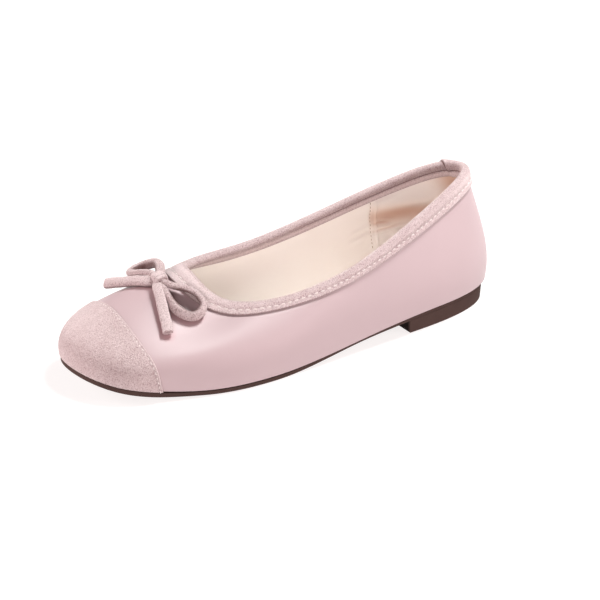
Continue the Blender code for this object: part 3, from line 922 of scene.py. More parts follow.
def thread_finish(name, colour):
    """Bonded polyester thread: smooth and a little silky, with the twist of its plies."""
    material, tree, shader, coords = new_finish(name, {
        "Roughness": 0.5, "Sheen Weight": 0.15, "Sheen Roughness": 0.3})
    base = np.array(colour)
    twist = add_node(tree, "ShaderNodeTexNoise", {"Vector": coords, "Scale": per_metre(0.4)})
    tone = add_node(tree, "ShaderNodeMix", {
        0: twist.outputs["Fac"], 6: (*(base * 0.9), 1.0), 7: (*np.clip(base * 1.05, 0, 1), 1.0),
    }, data_type="RGBA")
    plies = add_node(tree, "ShaderNodeBump", {
        "Height": twist.outputs["Fac"], "Strength": 0.4, "Distance": 0.0001})
    tree.links.new(tone.outputs[2], shader.inputs["Base Color"])
    tree.links.new(plies.outputs["Normal"], shader.inputs["Normal"])
    return material


def finish_of(context, name):
    """The finish of that name, made on first use."""
    colours = context.scene.flat_colours
    makers = {
        "pink_nappa_leather": lambda: leather_finish(colours),
        "pink_split_suede": lambda: suede_finish(colours),
        "cream_lining": lambda: lining_finish(colours),
        "brown_rubber": lambda: sole_finish(colours),
        "pink_thread": lambda: thread_finish("pink_thread", colours.thread),
        "tonal_thread": lambda: thread_finish("tonal_thread", colours.tonal_thread),
        "cream_thread": lambda: thread_finish("cream_thread", colours.lining_thread),
    }
    return bpy.data.materials.get(name) or makers[name]()


def binding_width(angles):
    """Outside width of the binding, a little more at the throat."""
    spread = np.clip(np.abs(angles - 180) / BINDING_THROAT_SPREAD, 0, 1)
    return BINDING_OUTSIDE + BINDING_THROAT_EXTRA * (1 - spread**2)**2


def binding_stitch_depth(angles):
    """How far below the topline the outside stitches run."""
    return BINDING_STITCH_DEPTH * binding_width(angles) / BINDING_OUTSIDE


def binding_inside_width(angles):
    """Width of the binding inside the shoe, more towards the throat."""
    from_heel = np.abs((angles + 180) % 360 - 180)
    return BINDING_INSIDE + BINDING_INSIDE_EXTRA * ease(from_heel, *BINDING_INSIDE_SPREAD)


def cap_distance(points):
    """Distance of points in front of the plane of the cap's back edge."""
    ahead = CAP_EDGE_AT_FLOOR - CAP_EDGE_LEAN * points[..., 2] - points[..., 0]
    return ahead / math.hypot(1, CAP_EDGE_LEAN)


def cap_share(angle):
    """Share of a rib at which it meets the plane of the cap's back edge."""
    shares = np.linspace(0, 1, 201)
    rib = over_upper(np.full(len(shares), angle), shares, np.full(len(shares), GAP))
    return np.interp(0, -cap_distance(rib), shares)


def cap_angles(count):
    """Rib angles that the cap covers."""
    least_share = 0.004
    wide = np.linspace(90, 270, 721)
    covered = wide[[cap_share(angle) > least_share for angle in wide]]
    return np.linspace(covered[0], covered[-1], count)


def bow_shade(points):
    """How much painted shade deepens the leather's tone close under the bow, where shade gathers."""
    nearest = np.full(points.shape[:-1], BOW_SHADE_RANGE[1])
    for _, rows, radius, section_mm, _ in STRANDS:
        route = strand_frames(rows, 60, radius, *np.array(section_mm) * MM)[0]
        nearest = np.minimum(nearest, np.linalg.norm(points[..., None, :] - route, axis=-1).min(axis=-1))
    return BOW_SHADE * (1 - ease(nearest, *BOW_SHADE_RANGE))


def make_upper_mesh():
    """Leather: pulled in under the binding, turned under at the sole and closed by a seam behind the heel."""
    count = 480
    angles = np.arange(count) * 360 / count
    feather = np.array([0, 0.002, 0.005, 0.009, 0.014, 0.020, 0.028])
    shares = np.concatenate([feather, np.linspace(0.04, 1.0, 60)])
    angle_grid, share_grid = np.meshgrid(angles, shares, indexing="ij")
    outside = upper_surface(angle_grid, share_grid)
    rise = np.linalg.norm(outside - outside[:, :1], axis=-1)
    below_binding = depth_at_share(angles, share_grid) - binding_width(angles)[:, None]
    back_round = SOLE_LENGTH / 4
    from_back = np.abs((angle_grid + 180) % 360 - 180) * math.radians(1) * back_round
    lift = along_line(below_binding, *BINDING_PULL) + along_line(from_back, *BACK_SEAM)
    outer = over_upper(angle_grid, share_grid, lift - rounded_edge(rise, FEATHER_ROUND))
    inner = over_upper(angle_grid, share_grid, np.full(share_grid.shape, -LEATHER_THICKNESS))[:, ::-3]
    mesh = grid_mesh("leather_upper", np.concatenate([outer, inner], axis=1))
    # Painted shade on the leather close under the bow
    set_shade(mesh, np.concatenate([bow_shade(outside), np.zeros(inner.shape[:2])], axis=1))
    return mesh


def heel_lining_front(depths, side):
    """Rib angle of the heel lining's front edge at a depth, on the outer (1) or inner (-1) side."""
    return (side * (HEEL_LINING_ANGLE + HEEL_LINING_LEAN_PER_MM * depths / MM)) % 360


def soft_lines(points, lines):
    """Sum at points of the wall of soft lines that fade at both ends.

    Their rows are start and end as rib angle and depth in mm, then amount and half width in mm.
    """
    total = np.zeros(points.shape[:2])
    shares_along = np.linspace(0, 1, 90)
    fade = np.sin(np.pi * np.clip(shares_along, 0.04, 0.96))**0.6
    for start, end, amount, width in lines:
        places = np.outer(1 - shares_along, start) + np.outer(shares_along, end)
        shares = share_at_depth(places[:, 0], places[:, 1] * MM)
        line = over_upper(places[:, 0], shares, np.full(len(shares), -UPPER_WALL))
        distance = np.linalg.norm(points[..., None, :] - line, axis=-1)
        total += amount * (fade * dip(distance, width * MM)).max(axis=-1)
    return total


def make_lining_mesh():
    """Lining: smooth along the sides, and slack where the heel patch is sewn on.

    Its columns are close together round the heel, where it has folds.
    """
    heel = np.arange(275, 445, 0.4)
    front = np.arange(85.2, 275, 1.25)
    angles = np.concatenate([heel, front + 360])
    shares = np.linspace(0.0, 0.995, 76)
    angle_grid, share_grid = np.meshgrid(angles, shares, indexing="ij")
    wall = over_upper(angle_grid, share_grid, np.full(share_grid.shape, -UPPER_WALL))
    depths = depth_at_share(angles, share_grid)
    lift = MM * soft_lines(wall, PUCKERS)
    covered = np.ones(lift.shape)
    for side in (1, -1):
        ahead = side * ((angle_grid - heel_lining_front(depths, side) + 180) % 360 - 180)
        covered *= soft_step(-ahead, HEEL_LINING_STEP_WIDTH)
        lift += along_line((ahead + HEEL_LINING_STITCH) * HEEL_LINING_DEGREE, *LINING_STITCH_GROOVE)
        lift += along_line((ahead + HEEL_LINING_FOLD) * HEEL_LINING_DEGREE, *LINING_FOLD)
    held = binding_inside_width(angles)[:, None]
    lift = (lift + HEEL_LINING_STEP * covered) * ease(depths, held, held + LINING_RELEASE)
    lift = np.maximum(lift, -LINING_THICKNESS / 2)
    inner = over_upper(angle_grid, share_grid, -UPPER_WALL - lift)
    back = np.full(share_grid.shape, LINING_THICKNESS - UPPER_WALL)
    outer = over_upper(angle_grid, share_grid, back)[:, ::5]
    mesh = grid_mesh("lining", np.concatenate([outer, inner[:, ::-1]], axis=1))
    # Painted shade in the slack heel lining's folds and at the back of the heel
    shade = (soft_lines(wall, LINING_SHADES) * covered)[:, ::-1]
    set_shade(mesh, np.concatenate([np.zeros(outer.shape[:2]), shade], axis=1))
    return mesh


def make_cap_mesh():
    """Toe cap: a raised suede overlay with a rounded back edge and a stitched groove along it.

    Its rows, as parts of the way from the back edge to the sole, are close together at both.
    """
    angles = cap_angles(500)
    edge = np.array([cap_share(angle) for angle in angles])
    edge_depth = depth_at_share(angles, edge)[:, None]
    full_depth = depth_at_share(angles, np.zeros(len(angles)))[:, None]
    at_sole = [0.98, 0.987, 0.993, 0.997, 1.0]
    parts = np.concatenate([np.linspace(0, 0.10, 36), np.linspace(0.115, 0.97, 44), at_sole])
    depths = edge_depth + (full_depth - edge_depth) * parts
    shares = share_at_depth(angles, depths)
    angle_grid = np.repeat(angles[:, None], len(parts), axis=1)
    points = upper_surface(angle_grid, shares)
    height = points[..., 2]
    inset = np.clip(cap_distance(points), 0, None)
    near_sole = 1 - ease(height, *CAP_GROOVE_RANGE)
    groove = dip(inset - CAP_STITCH_INSET, CAP_GROOVE_WIDTH)
    lift = np.full(shares.shape, GAP + CAP_THICKNESS)
    lift -= np.minimum(rounded_edge(inset, CAP_ROUND), CAP_THICKNESS)
    lift -= (CAP_GROOVE + CAP_GROOVE_EXTRA * near_sole) * groove
    lift -= rounded_edge(full_depth - depths, FEATHER_ROUND)
    top = over_upper(angle_grid, shares, lift)
    under = over_upper(angle_grid, shares, np.full(shares.shape, UNDERSIDE_GAP))[:, ::4]
    mesh = grid_mesh("toe_cap_suede", np.concatenate([top[:, ::-1], under], axis=1), closed_columns=False)
    # Painted shade in the stitched groove, more near the sole, a paler cut edge, partly its own tone and
    # partly a painted highlight, and painted light on top of the cap
    shade = (CAP_GROOVE_SHADE + CAP_GROOVE_SHADE_EXTRA * near_sole) * groove
    shade += along_line(inset, *CAP_EDGE_SHADE)
    shade -= CAP_TOP_PALENESS * ease(height, *CAP_TOP_RANGE) * ease(inset, 0.0, CAP_TOP_FADE)
    cut = np.full(under.shape[:2], CAP_EDGE_SHADE[0])
    set_shade(mesh, np.concatenate([shade[:, ::-1], cut], axis=1))
    return close_mesh(mesh)


def behind_joint(angles, depths):
    """Degrees behind the edge of the binding's upper end, at depths down inside the shoe."""
    joint = JOINT_ANGLE + JOINT_SLANT_PER_MM * depths / MM
    return (angles - joint + 180) % 360 - 180


def joint_lift(angles, depths):
    """How far the upper end of the binding stands over the lower one."""
    behind = behind_joint(angles, depths)
    return JOINT_LIFT * soft_step(behind, JOINT_STEP_WIDTH) * np.clip(1 - behind / JOINT_LENGTH, 0, 1)**1.5


def joint_shade(angles, depths):
    """How much painted shade darkens the crevice in front of the binding's upper end."""
    return along_line(behind_joint(angles, depths) + JOINT_SHADE_PLACE, JOINT_SHADE, JOINT_SHADE_WIDTH)


def column_grid(angles, depths):
    """Rib angles and shares of places at rows of depths below the topline."""
    return np.repeat(angles[:, None], depths.shape[1], axis=1), share_at_depth(angles, depths)


def binding_outside_lift(angles, depths, puff):
    """Height of the binding's outside: full above the stitches, drawn in at them and flat below them."""
    width = binding_width(angles)[:, None]
    stitch = binding_stitch_depth(angles)[:, None]
    lift = GAP + BINDING_THICKNESS + joint_lift(angles[:, None], JOINT_OUTSIDE - depths)
    lift += along_line(depths - BINDING_ROLL_SHARE * stitch, *BINDING_ROLL)
    lift -= (BINDING_GROOVE + BINDING_STITCH_PULL * puff) * dip(depths - stitch, BINDING_GROOVE_WIDTH)
    lift += BINDING_PUFF * puff * dip(depths - stitch - BINDING_PUFF_PLACE, BINDING_PUFF_WIDTH)
    return lift - np.minimum(rounded_edge(width - depths, BINDING_ROUND), BINDING_THICKNESS)


def binding_inside_lift(angles, depths):
    """Height of the binding inside the shoe: rolled at the top, with a deep groove."""
    lift = GAP + BINDING_THICKNESS + joint_lift(angles[:, None], depths)
    lift += along_line(depths - BINDING_INSIDE_ROLL_DEPTH, *BINDING_INSIDE_ROLL)
    lift += along_line(depths - BINDING_INSIDE_STITCH_DEPTH, *BINDING_INSIDE_GROOVE)
    edge = binding_inside_width(angles)[:, None] - depths
    return lift - np.minimum(rounded_edge(edge, BINDING_INSIDE_ROUND), BINDING_THICKNESS)


def binding_outside_shade(angles, depths):
    """Shade outside the shoe: painted shade in the groove and at the edge, painted light at throat and heel.
    """
    width = binding_width(angles)[:, None]
    shade = along_line(depths - binding_stitch_depth(angles)[:, None], *BINDING_GROOVE_SHADE)
    shade += along_line(depths - width, *BINDING_EDGE_SHADE)
    from_throat = np.abs(angles - 180)
    throat = 1 - ease(from_throat, *THROAT_SPREAD)
    heel = 1 - ease(180 - from_throat, *HEEL_SPREAD)
    paleness = np.maximum(THROAT_PALENESS * throat, HEEL_PALENESS * heel)[:, None]
    return shade - paleness * (depths < width - BINDING_CUT_EDGE)


def binding_inside_shade(angles, depths):
    """Shade inside the shoe: painted shade in the groove and at the edge, with a pale band between them."""
    width = binding_inside_width(angles)[:, None]
    shade = BINDING_INSIDE_SHADE * (depths < BINDING_INSIDE_STITCH_DEPTH)
    shade += along_line(depths - BINDING_INSIDE_STITCH_DEPTH, *BINDING_INSIDE_GROOVE_SHADE)
    shade += along_line(depths - width, *BINDING_INSIDE_EDGE_SHADE)
    shade += along_line(depths - (BINDING_INSIDE_STITCH_DEPTH + width) / 2, *BINDING_INSIDE_BAND_SHADE)
    return shade + joint_shade(angles[:, None], depths)


def make_binding_mesh(pitch):
    """Binding: a suede strip folded over the topline and sewn down on both sides, its ends overlapped.

    Each column of the strip runs up its outside, over the top, down the inside and back underneath.
    """
    count = 1050
    angles = np.arange(count) * 360 / count
    ends = np.ones(count)
    top_line = upper_surface(angles, ends)
    along = np.cumsum(np.linalg.norm(top_line - np.roll(top_line, 1, axis=0), axis=1))
    stitches = round(along[-1] / pitch)
    puff = np.cos(2 * np.pi * stitches * along / along[-1])[:, None]

    parts = 1 - (1 - np.linspace(0, 1, 26))**1.15
    depths_out = binding_width(angles)[:, None] * parts[::-1]
    places_out = column_grid(angles, depths_out)
    outside = over_upper(*places_out, binding_outside_lift(angles, depths_out, puff))

    normals = upper_normals(angles, ends)
    upwards = top_line - upper_surface(angles, ends - 0.01)
    upwards /= np.linalg.norm(upwards, axis=1, keepdims=True)
    middle = top_line - normals * UPPER_WALL / 2
    turns = np.linspace(0, math.pi, 15)[1:-1]
    round_top = UPPER_WALL / 2 + GAP + BINDING_THICKNESS + BINDING_TOP_FULLNESS
    depths_over = -round_top * np.broadcast_to(math.pi - turns, (count, len(turns)))
    radius = round_top + joint_lift(angles[:, None], depths_over)
    turned = normals[:, None] * np.cos(turns)[:, None] + upwards[:, None] * np.sin(turns)[:, None]
    over_top = middle[:, None] + turned * radius[..., None]

    depths_in = binding_inside_width(angles)[:, None] * np.linspace(0, 1, 40)
    places_in = column_grid(angles, depths_in)
    inside = over_upper(*places_in, -UPPER_WALL - binding_inside_lift(angles, depths_in))

    under_in = over_upper(*places_in, np.full(depths_in.shape, -UPPER_WALL - UNDERSIDE_GAP))[:, ::-6]
    under_out = over_upper(*places_out, np.full(depths_out.shape, UNDERSIDE_GAP))[:, ::-6]
    under_top = (middle + upwards * (UPPER_WALL / 2 + UNDERSIDE_GAP))[:, None]
    underside = np.concatenate([under_in, under_top, under_out], axis=1)
    mesh = grid_mesh("collar_binding_suede", np.concatenate([outside, over_top, inside, underside], axis=1))

    # Painted shade in the grooves, at the edges, over the rolled top inside and in the joint's crevice, and
    # painted light at throat and heel
    shade_out = binding_outside_shade(angles, depths_out)
    shade_over = joint_shade(angles[:, None], depths_over)
    shade_over += BINDING_INSIDE_SHADE * ease(turns, math.pi / 2, math.pi)
    shade_in = binding_inside_shade(angles, depths_in)
    # Painted shade on the strip's outer edge underneath
    shade_under = np.zeros(underside.shape[:2])
    shade_under[:, -1] = 1.0
    set_shade(mesh, np.concatenate([shade_out, shade_over, shade_in, shade_under], axis=1))
    return mesh


def spine_points(angles):
    """Middle line of the sole below each angle, kept away from toe and heel."""
    dense = np.linspace(0, 180, 361)
    outer = sole_edge(dense)
    inner = sole_edge(360 - dense)
    end_margin = 0.028
    x = np.clip(SOLE_LENGTH / 2 * np.cos(np.radians(angles)), end_margin - SOLE_LENGTH / 2,
                SOLE_LENGTH / 2 - end_margin)
    middle = np.interp(x, outer[::-1, 0], (outer[::-1, 1] + inner[::-1, 1]) / 2)
    return np.stack([x, middle], axis=-1)


def outsole_inset(x):
    """How far the outsole's edge lies inside the upper's: out under the toe, flush with the heel block."""
    toe = -TOE_OVERHANG * ease(-x, TOE_RIM_START, TOE_OVERHANG_FULL)
    waist = (WAIST_INSET - OUTSOLE_INSET) * ease(x, TREAD_BACK, WAIST_MIDDLE)
    heel = (HEEL_INSET - WAIST_INSET) * ease(x, WAIST_MIDDLE, HEEL_BREAST)
    return OUTSOLE_INSET + toe + waist + heel


def sole_slab_mesh(name, inset_at, profile, toe_extra=0.0):
    """Slab that follows the sole, drawn in from the upper's edge by a function of x.

    Profile rows are the inset from the slab's own edge, the share of the way to the middle line and the
    height over the upper's lower edge, from the top's middle to the bottom's middle.  The slab is thicker by
    a share under the toe.
    """
    count = 480
    angles = np.arange(count) * 360 / count
    inwards = edge_directions(angles)[1]
    spine = spine_points(angles)
    rim = sole_edge(angles)
    rim = rim + inwards * np.broadcast_to(inset_at(rim[:, 0]), count)[:, None]
    rows = []
    for inset, share, height in profile:
        edge = (rim + inwards * inset)[:, :2]
        flat = edge * (1 - share) + spine * share
        thicker = 1 + toe_extra * ease(-flat[:, 0], TOE_RIM_START, TOE_EXTRA_FULL)
        rows.append(np.column_stack([flat, sole_height(flat[:, 0]) + height * thicker]))
    return close_mesh(grid_mesh(name, np.stack(rows[::-1], axis=1), closed_rows=False))


def edge_rows(top, bottom, radius, steps=6):
    """Profile rows of a slab's side with both edges rounded."""
    turns = np.linspace(0, math.pi / 2, steps)
    upper = [(radius * (1 - math.sin(t)), 0.0, top - radius * (1 - math.cos(t))) for t in turns]
    lower = [(radius * (1 - math.cos(t)), 0.0, bottom + radius * (1 - math.sin(t))) for t in turns]
    return upper + lower


def make_outsole_mesh():
    """Outsole: a thin slab with softened edges and a shallow groove inside its rim."""
    top = -GAP
    bottom = -OUTSOLE_THICKNESS
    hidden = 0.002
    groove = ((-0.0007, 0.0), (-0.0004, 0.0003), (0.0, 0.0004), (0.0004, 0.0003), (0.0007, 0.0))
    profile = [(hidden, share, top) for share in (1.0, 0.5, 0.0)]
    profile += edge_rows(top, bottom, OUTSOLE_ROUND)
    profile += [(OUTSOLE_GROOVE_INSET + side, 0.0, bottom + depth) for side, depth in groove]
    profile += [(OUTSOLE_GROOVE_INSET + 0.001, share, bottom) for share in (0.0, 0.25, 0.5, 0.75, 1.0)]
    return sole_slab_mesh("outsole_rubber", outsole_inset, profile, TOE_EXTRA)


def make_sock_mesh():
    """Sock: the pale sheet that the foot stands on, its edge rounded and its middle a little crowned."""
    top = INSOLE_THICKNESS
    inside = 0.001
    profile = [(inside, share, top + SOCK_CROWN * share) for share in (1.0, 0.75, 0.5, 0.25, 0.1)]
    profile += edge_rows(top, 0.0, SOCK_ROUND)
    profile += [(inside, share, 0.0) for share in (0.0, 0.5, 1.0)]
    return sole_slab_mesh("sock", lambda x: INSOLE_INSET, profile)


def heel_ring(draw_in):
    """Outline of the heel block, drawn in from its sides: round behind and straight at the breast."""
    inset = HEEL_INSET + draw_in
    breast = HEEL_BREAST + draw_in
    dense = np.linspace(-90, 90, 1441)
    edge = sole_edge(dense) + edge_directions(dense)[1] * inset
    back = len(dense) // 2
    start = np.interp(breast, edge[:back + 1, 0], dense[:back + 1])
    end = np.interp(breast, edge[:back - 1:-1, 0], dense[:back - 1:-1])
    angles = np.linspace(start, end, HEEL_SIDE_POINTS)
    behind = sole_edge(angles) + edge_directions(angles)[1] * inset
    return np.vstack([behind, np.linspace(behind[-1], behind[0], 26)[1:-1]])[:, :2]


def make_heel_mesh():
    """Heel block: straight at the breast, round behind, with a softened lower edge and a slight taper."""
    rings = []
    for t in np.linspace(0, math.pi / 2, 5):
        rings.append((HEEL_BASE_TAPER + HEEL_ROUND * (1 - math.sin(t)), HEEL_ROUND * (1 - math.cos(t)), 0.0))
    for part in (0.25, 0.5, 0.75, 1.0):
        rings.append((HEEL_BASE_TAPER * (1 - part), HEEL_ROUND * (1 - part), part))
    sections = []
    for draw_in, lift, part in rings:
        flat = heel_ring(draw_in)
        top = sole_height(flat[:, 0]) - OUTSOLE_THICKNESS
        sections.append(np.column_stack([flat, lift + top * part]))
    mesh = grid_mesh("heel_rubber", np.stack(sections, axis=1), closed_rows=False)
    # Painted shade on the breast
    breast = np.arange(len(sections[0])) >= HEEL_SIDE_POINTS
    set_shade(mesh, np.repeat(breast[:, None].astype(float), len(sections), axis=1))
    return close_mesh(mesh)


def smooth_route(knots, count):
    """Points along a smooth curve through knots."""
    padded = np.vstack([2 * knots[0] - knots[1], knots, 2 * knots[-1] - knots[-2]])
    route = []
    for place in np.linspace(0, len(knots) - 1, count):
        i = min(int(place), len(knots) - 2)
        t = place - i
        before, start, end, after = padded[i:i + 4]
        blend = t * t * (3 - 2 * t)
        turn = (end - before) / 2 * t * (1 - t)**2 - (after - start) / 2 * t * t * (1 - t)
        route.append(start * (1 - blend) + end * blend + turn)
    return np.array(route)


def strand_frames(rows, count, radius, half_width, half_height):
    """Route of a strand that lies on the leather as its solid does, with its directions.

    These are along it, across its wide side, across its thin side and away from the leather.
    """
    angles, depths, lifts, rolls = np.array(rows, float).T
    rolls = np.radians(rolls)
    reach = np.hypot(half_width * np.cos(rolls), half_height * np.sin(rolls))
    shares = share_at_depth(angles, depths * MM)
    route = smooth_route(over_upper(angles, shares, lifts * MM + reach - radius), count)
    up = smooth_route(upper_normals(angles, shares), count)
    roll = smooth_route(rolls[:, None], count)
    along = np.gradient(route, axis=0)
    along /= np.linalg.norm(along, axis=1, keepdims=True)
    across = np.cross(along, up)
    across /= np.linalg.norm(across, axis=1, keepdims=True)
    away = np.cross(across, along)
    wide = away * np.cos(roll) + across * np.sin(roll)
    return route, along, wide, np.cross(along, wide), away


def make_strand_mesh(name, rows, radius, section_mm, cut_end):
    """Rolled strip of the bow: a flat oval with a seam along it, narrower in the knot.

    Painted shade darkens a loop's inner side and the strips' underside, painted light pales their top, and a
    tail's cut end shows the slit between the strip's two edges, darkened by painted shade.
    """
    half_width, half_height = np.array(section_mm) * MM
    count = 120
    route, along, wide, thin, away = strand_frames(rows, count, radius, half_width, half_height)
    turns = np.linspace(0, 2 * np.pi, 44, endpoint=False)
    ring_wide, ring_thin = squared(turns, STRAND_SQUARENESS)
    seam_depth, seam_turn, seam_width = STRAND_SEAM
    seam = 1 - seam_depth * dip(np.angle(np.exp(1j * (turns - seam_turn))), seam_width)
    place = np.arange(count) / (count - 1)
    pinch = 1 + along_line(place, *STRAND_PINCH)
    if not cut_end:
        pinch = pinch + along_line(1 - place, *STRAND_PINCH)
    uneven = 1 + sum(share * np.sin(turn * place + start) for share, turn, start in STRAND_WAVES)
    ring = wide[:, None] * (half_width * ring_wide * seam)[:, None]
    ring = ring + thin[:, None] * (half_height * ring_thin * seam)[:, None]
    sections = list(route[:, None] + ring * (pinch * uneven)[:, None, None])
    outwards = ring / np.linalg.norm(ring, axis=-1, keepdims=True)
    rising = (outwards * away[:, None]).sum(axis=-1)
    # Painted shade on the underside and painted light on top
    shade = UNDERSIDE_SHADE * ease(-rising, *UNDERSIDE_RANGE) - BOW_PALENESS * ease(rising, *BOW_TOP_RANGE)
    if not cut_end:
        inwards = route.mean(axis=0) - route
        inwards /= np.linalg.norm(inwards, axis=1, keepdims=True)
        facing = (outwards * inwards[:, None]).sum(axis=-1)
        shade = np.maximum(shade, LOOP_INNER_SHADE * ease(facing, *LOOP_INNER_RANGE))
    shades = list(shade)
    if cut_end:
        centre = route[-1]
        last = sections[-1] - centre
        side = last @ thin[-1]
        for shrink, forward_mm in CUT_END_RINGS:
            slit = dip(side * shrink, CUT_END_SLIT_WIDTH) * (1 - shrink**4)
            forward = forward_mm * MM - CUT_END_SLIT * slit
            sections.append(centre + last * shrink + along[-1] * forward[:, None])
            # Painted shade in the slit
            shades.append(CREASE_SHADE * slit)
    mesh = grid_mesh(name, np.array(sections), closed_columns=False)
    set_shade(mesh, np.array(shades))
    set_shade(mesh, np.ones(np.shape(shades)), "worn")
    return close_mesh(mesh)


def make_knot_mesh():
    """Knot: a short band of suede pulled round the strands, with a faint fold across it."""
    angle, depth, lift = (np.array([value]) for value in KNOT_PLACE)
    place = over_upper(angle, share_at_depth(angle, depth * MM), lift * MM)[0]
    half_x, half_y, half_z = np.array(KNOT_SIZE) / 2 + KNOT_FULLNESS
    turns = np.linspace(0, 2 * np.pi, 64, endpoint=False)
    ring_x, ring_z = squared(turns, KNOT_SQUARENESS)
    sections = []
    shades = []
    for t in np.sin(np.linspace(-0.97, 0.97, 45) * math.pi / 2):
        size = (1 - abs(t)**KNOT_END_POWER)**(1 / KNOT_END_POWER)
        fold = dip(t - KNOT_FOLD_PLACE + KNOT_FOLD_WAVE * np.cos(turns), KNOT_FOLD_WIDTH)
        scale = size * (1 - KNOT_FOLD_DEPTH * fold)
        across = np.full(len(turns), half_y * t)
        sections.append(np.column_stack([half_x * ring_x * scale, across, half_z * ring_z * scale]))
        # Painted shade in the fold and at the ends, painted light elsewhere
        crease = KNOT_FOLD_SHADE * fold + ease(abs(t), *KNOT_END_RANGE)
        shades.append(CREASE_SHADE * crease - BOW_PALENESS * (1 - fold))
    mesh = grid_mesh("bow_knot_suede", np.array(sections), closed_columns=False)
    set_shade(mesh, np.array(shades))
    set_shade(mesh, np.ones(np.shape(shades)), "worn")
    close_mesh(mesh)
    mesh.transform(Matrix.Translation(Vector(place)) @ Matrix.Rotation(KNOT_TILT, 4, "Y"))
    return mesh


STITCH_SIZES = ("Pitch", "Length", "Thread")


def stitch_tree():
    """Geometry nodes that set a row of stitches along a curve."""
    tree = bpy.data.node_groups.new("stitch_row", "GeometryNodeTree")
    tree.interface.new_socket("Row", in_out="INPUT", socket_type="NodeSocketGeometry")
    for name in STITCH_SIZES:
        tree.interface.new_socket(name, in_out="INPUT", socket_type="NodeSocketFloat")
    tree.interface.new_socket("Finish", in_out="INPUT", socket_type="NodeSocketMaterial")
    tree.interface.new_socket("Stitches", in_out="OUTPUT", socket_type="NodeSocketGeometry")
    given = add_node(tree, "NodeGroupInput").outputs
    places = add_node(tree, "GeometryNodeResampleCurve", {
        "Curve": given["Row"], "Length": given["Pitch"]}, mode="LENGTH")
    ball = add_node(tree, "GeometryNodeMeshUVSphere", {"Segments": 10, "Rings": 7, "Radius": 0.5})
    size = add_node(tree, "ShaderNodeCombineXYZ", {
        "X": given["Length"], "Y": given["Thread"], "Z": given["Thread"]})
    stitch = add_node(tree, "GeometryNodeTransform", {
        "Geometry": ball.outputs["Mesh"], "Scale": size.outputs[0]})
    tangent = add_node(tree, "GeometryNodeInputTangent").outputs[0]
    turn = add_node(tree, "FunctionNodeAlignRotationToVector", {"Vector": tangent}, axis="X")
    row = add_node(tree, "GeometryNodeInstanceOnPoints", {
        "Points": places.outputs["Curve"], "Instance": stitch.outputs["Geometry"],
        "Rotation": turn.outputs[0]})
    real = add_node(tree, "GeometryNodeRealizeInstances", {"Geometry": row.outputs["Instances"]})
    done = add_node(tree, "GeometryNodeSetMaterial", {
        "Geometry": real.outputs["Geometry"], "Material": given["Finish"]})
    add_node(tree, "NodeGroupOutput", {"Stitches": done.outputs["Geometry"]})
    return tree


def make_stitch_mesh(name, rows, closed, sizes, finish):
    """Rows of stitches along lines of points, as one plain mesh."""
    curve = bpy.data.curves.new(name + "_line", "CURVE")
    curve.dimensions = "3D"
    for points in rows:
        spline = curve.splines.new("POLY")
        spline.points.add(len(points) - 1)
        spline.points.foreach_set("co", np.column_stack([points, np.ones(len(points))]).ravel())
        spline.use_cyclic_u = closed
    line = bpy.data.objects.new(name + "_line", curve)
    bpy.context.scene.collection.objects.link(line)
    tree = bpy.data.node_groups.get("stitch_row") or stitch_tree()
    sewing = line.modifiers.new("stitches", "NODES")
    sewing.node_group = tree
    values = {**sizes, "Finish": finish}
    for socket in tree.interface.items_tree:
        if socket.name in values:
            sewing[socket.identifier] = values[socket.name]
    depsgraph = bpy.context.evaluated_depsgraph_get()
    mesh = bpy.data.meshes.new_from_object(line.evaluated_get(depsgraph))
    mesh.name = name
    line.modifiers.remove(sewing)
    bpy.data.objects.remove(line)
    bpy.data.curves.remove(curve)
    return mesh


def cap_stitch_line():
    """Line of the toe cap's stitches, which stops a little above the sole."""
    end_margin = 0.0006
    samples = np.linspace(0, 1, 201)
    lift = GAP + CAP_THICKNESS - STITCH_SINK
    points = []
    for angle in np.linspace(90, 270, 1441):
        rib = over_upper(np.full(len(samples), angle), samples, np.full(len(samples), lift))
        inset = cap_distance(rib)
        if inset[0] > CAP_STITCH_INSET + end_margin:
            share = np.interp(-CAP_STITCH_INSET, -inset, samples)
            points.append(over_upper(np.array([angle]), np.array([share]), np.array([lift]))[0])
    return np.array(points)


def binding_stitch_line(inside):
    """Line of the binding's stitches, on the outside or inside of the shoe."""
    angles = np.arange(1440) / 4
    if inside:
        depths = np.full(len(angles), BINDING_INSIDE_STITCH_DEPTH)
        lift = INSIDE_STITCH_SINK - UPPER_WALL - GAP - BINDING_THICKNESS - joint_lift(angles, depths)
    else:
        depths = binding_stitch_depth(angles)
        lift = GAP + BINDING_THICKNESS - STITCH_SINK + joint_lift(angles, JOINT_OUTSIDE - depths)
    return over_upper(angles, share_at_depth(angles, depths), lift)


def lining_stitch_lines():
    """A line of stitches down each front edge of the heel lining."""
    depths = np.linspace(*HEEL_LINING_SEAM, 60)
    lines = []
    for side in (1, -1):
        angles = heel_lining_front(depths, side) - side * HEEL_LINING_STITCH
        shares = share_at_depth(angles, depths)
        wall = over_upper(angles, shares, np.full(len(shares), -UPPER_WALL))
        lift = MM * soft_lines(wall[:, None], PUCKERS)[:, 0]
        lines.append(over_upper(angles, shares, -UPPER_WALL - lift))
    return lines


class BALLETFLAT_OT_upper(bpy.types.Operator):
    """Make the leather upper"""

    bl_idname = "ballet_flat.upper"
    bl_label = "Leather Upper"

    def execute(self, context):
        finish_piece(make_upper_mesh(), finish_of(context, "pink_nappa_leather"), "leather", "upper")
        return {"FINISHED"}


class BALLETFLAT_OT_lining(bpy.types.Operator):
    """Make the lining and the sock"""

    bl_idname = "ballet_flat.lining"
    bl_label = "Lining and Sock"

    def execute(self, context):
        finish = finish_of(context, "cream_lining")
        finish_piece(make_lining_mesh(), finish, "lining")
        finish_piece(make_sock_mesh(), finish, "lining", "insole")
        return {"FINISHED"}


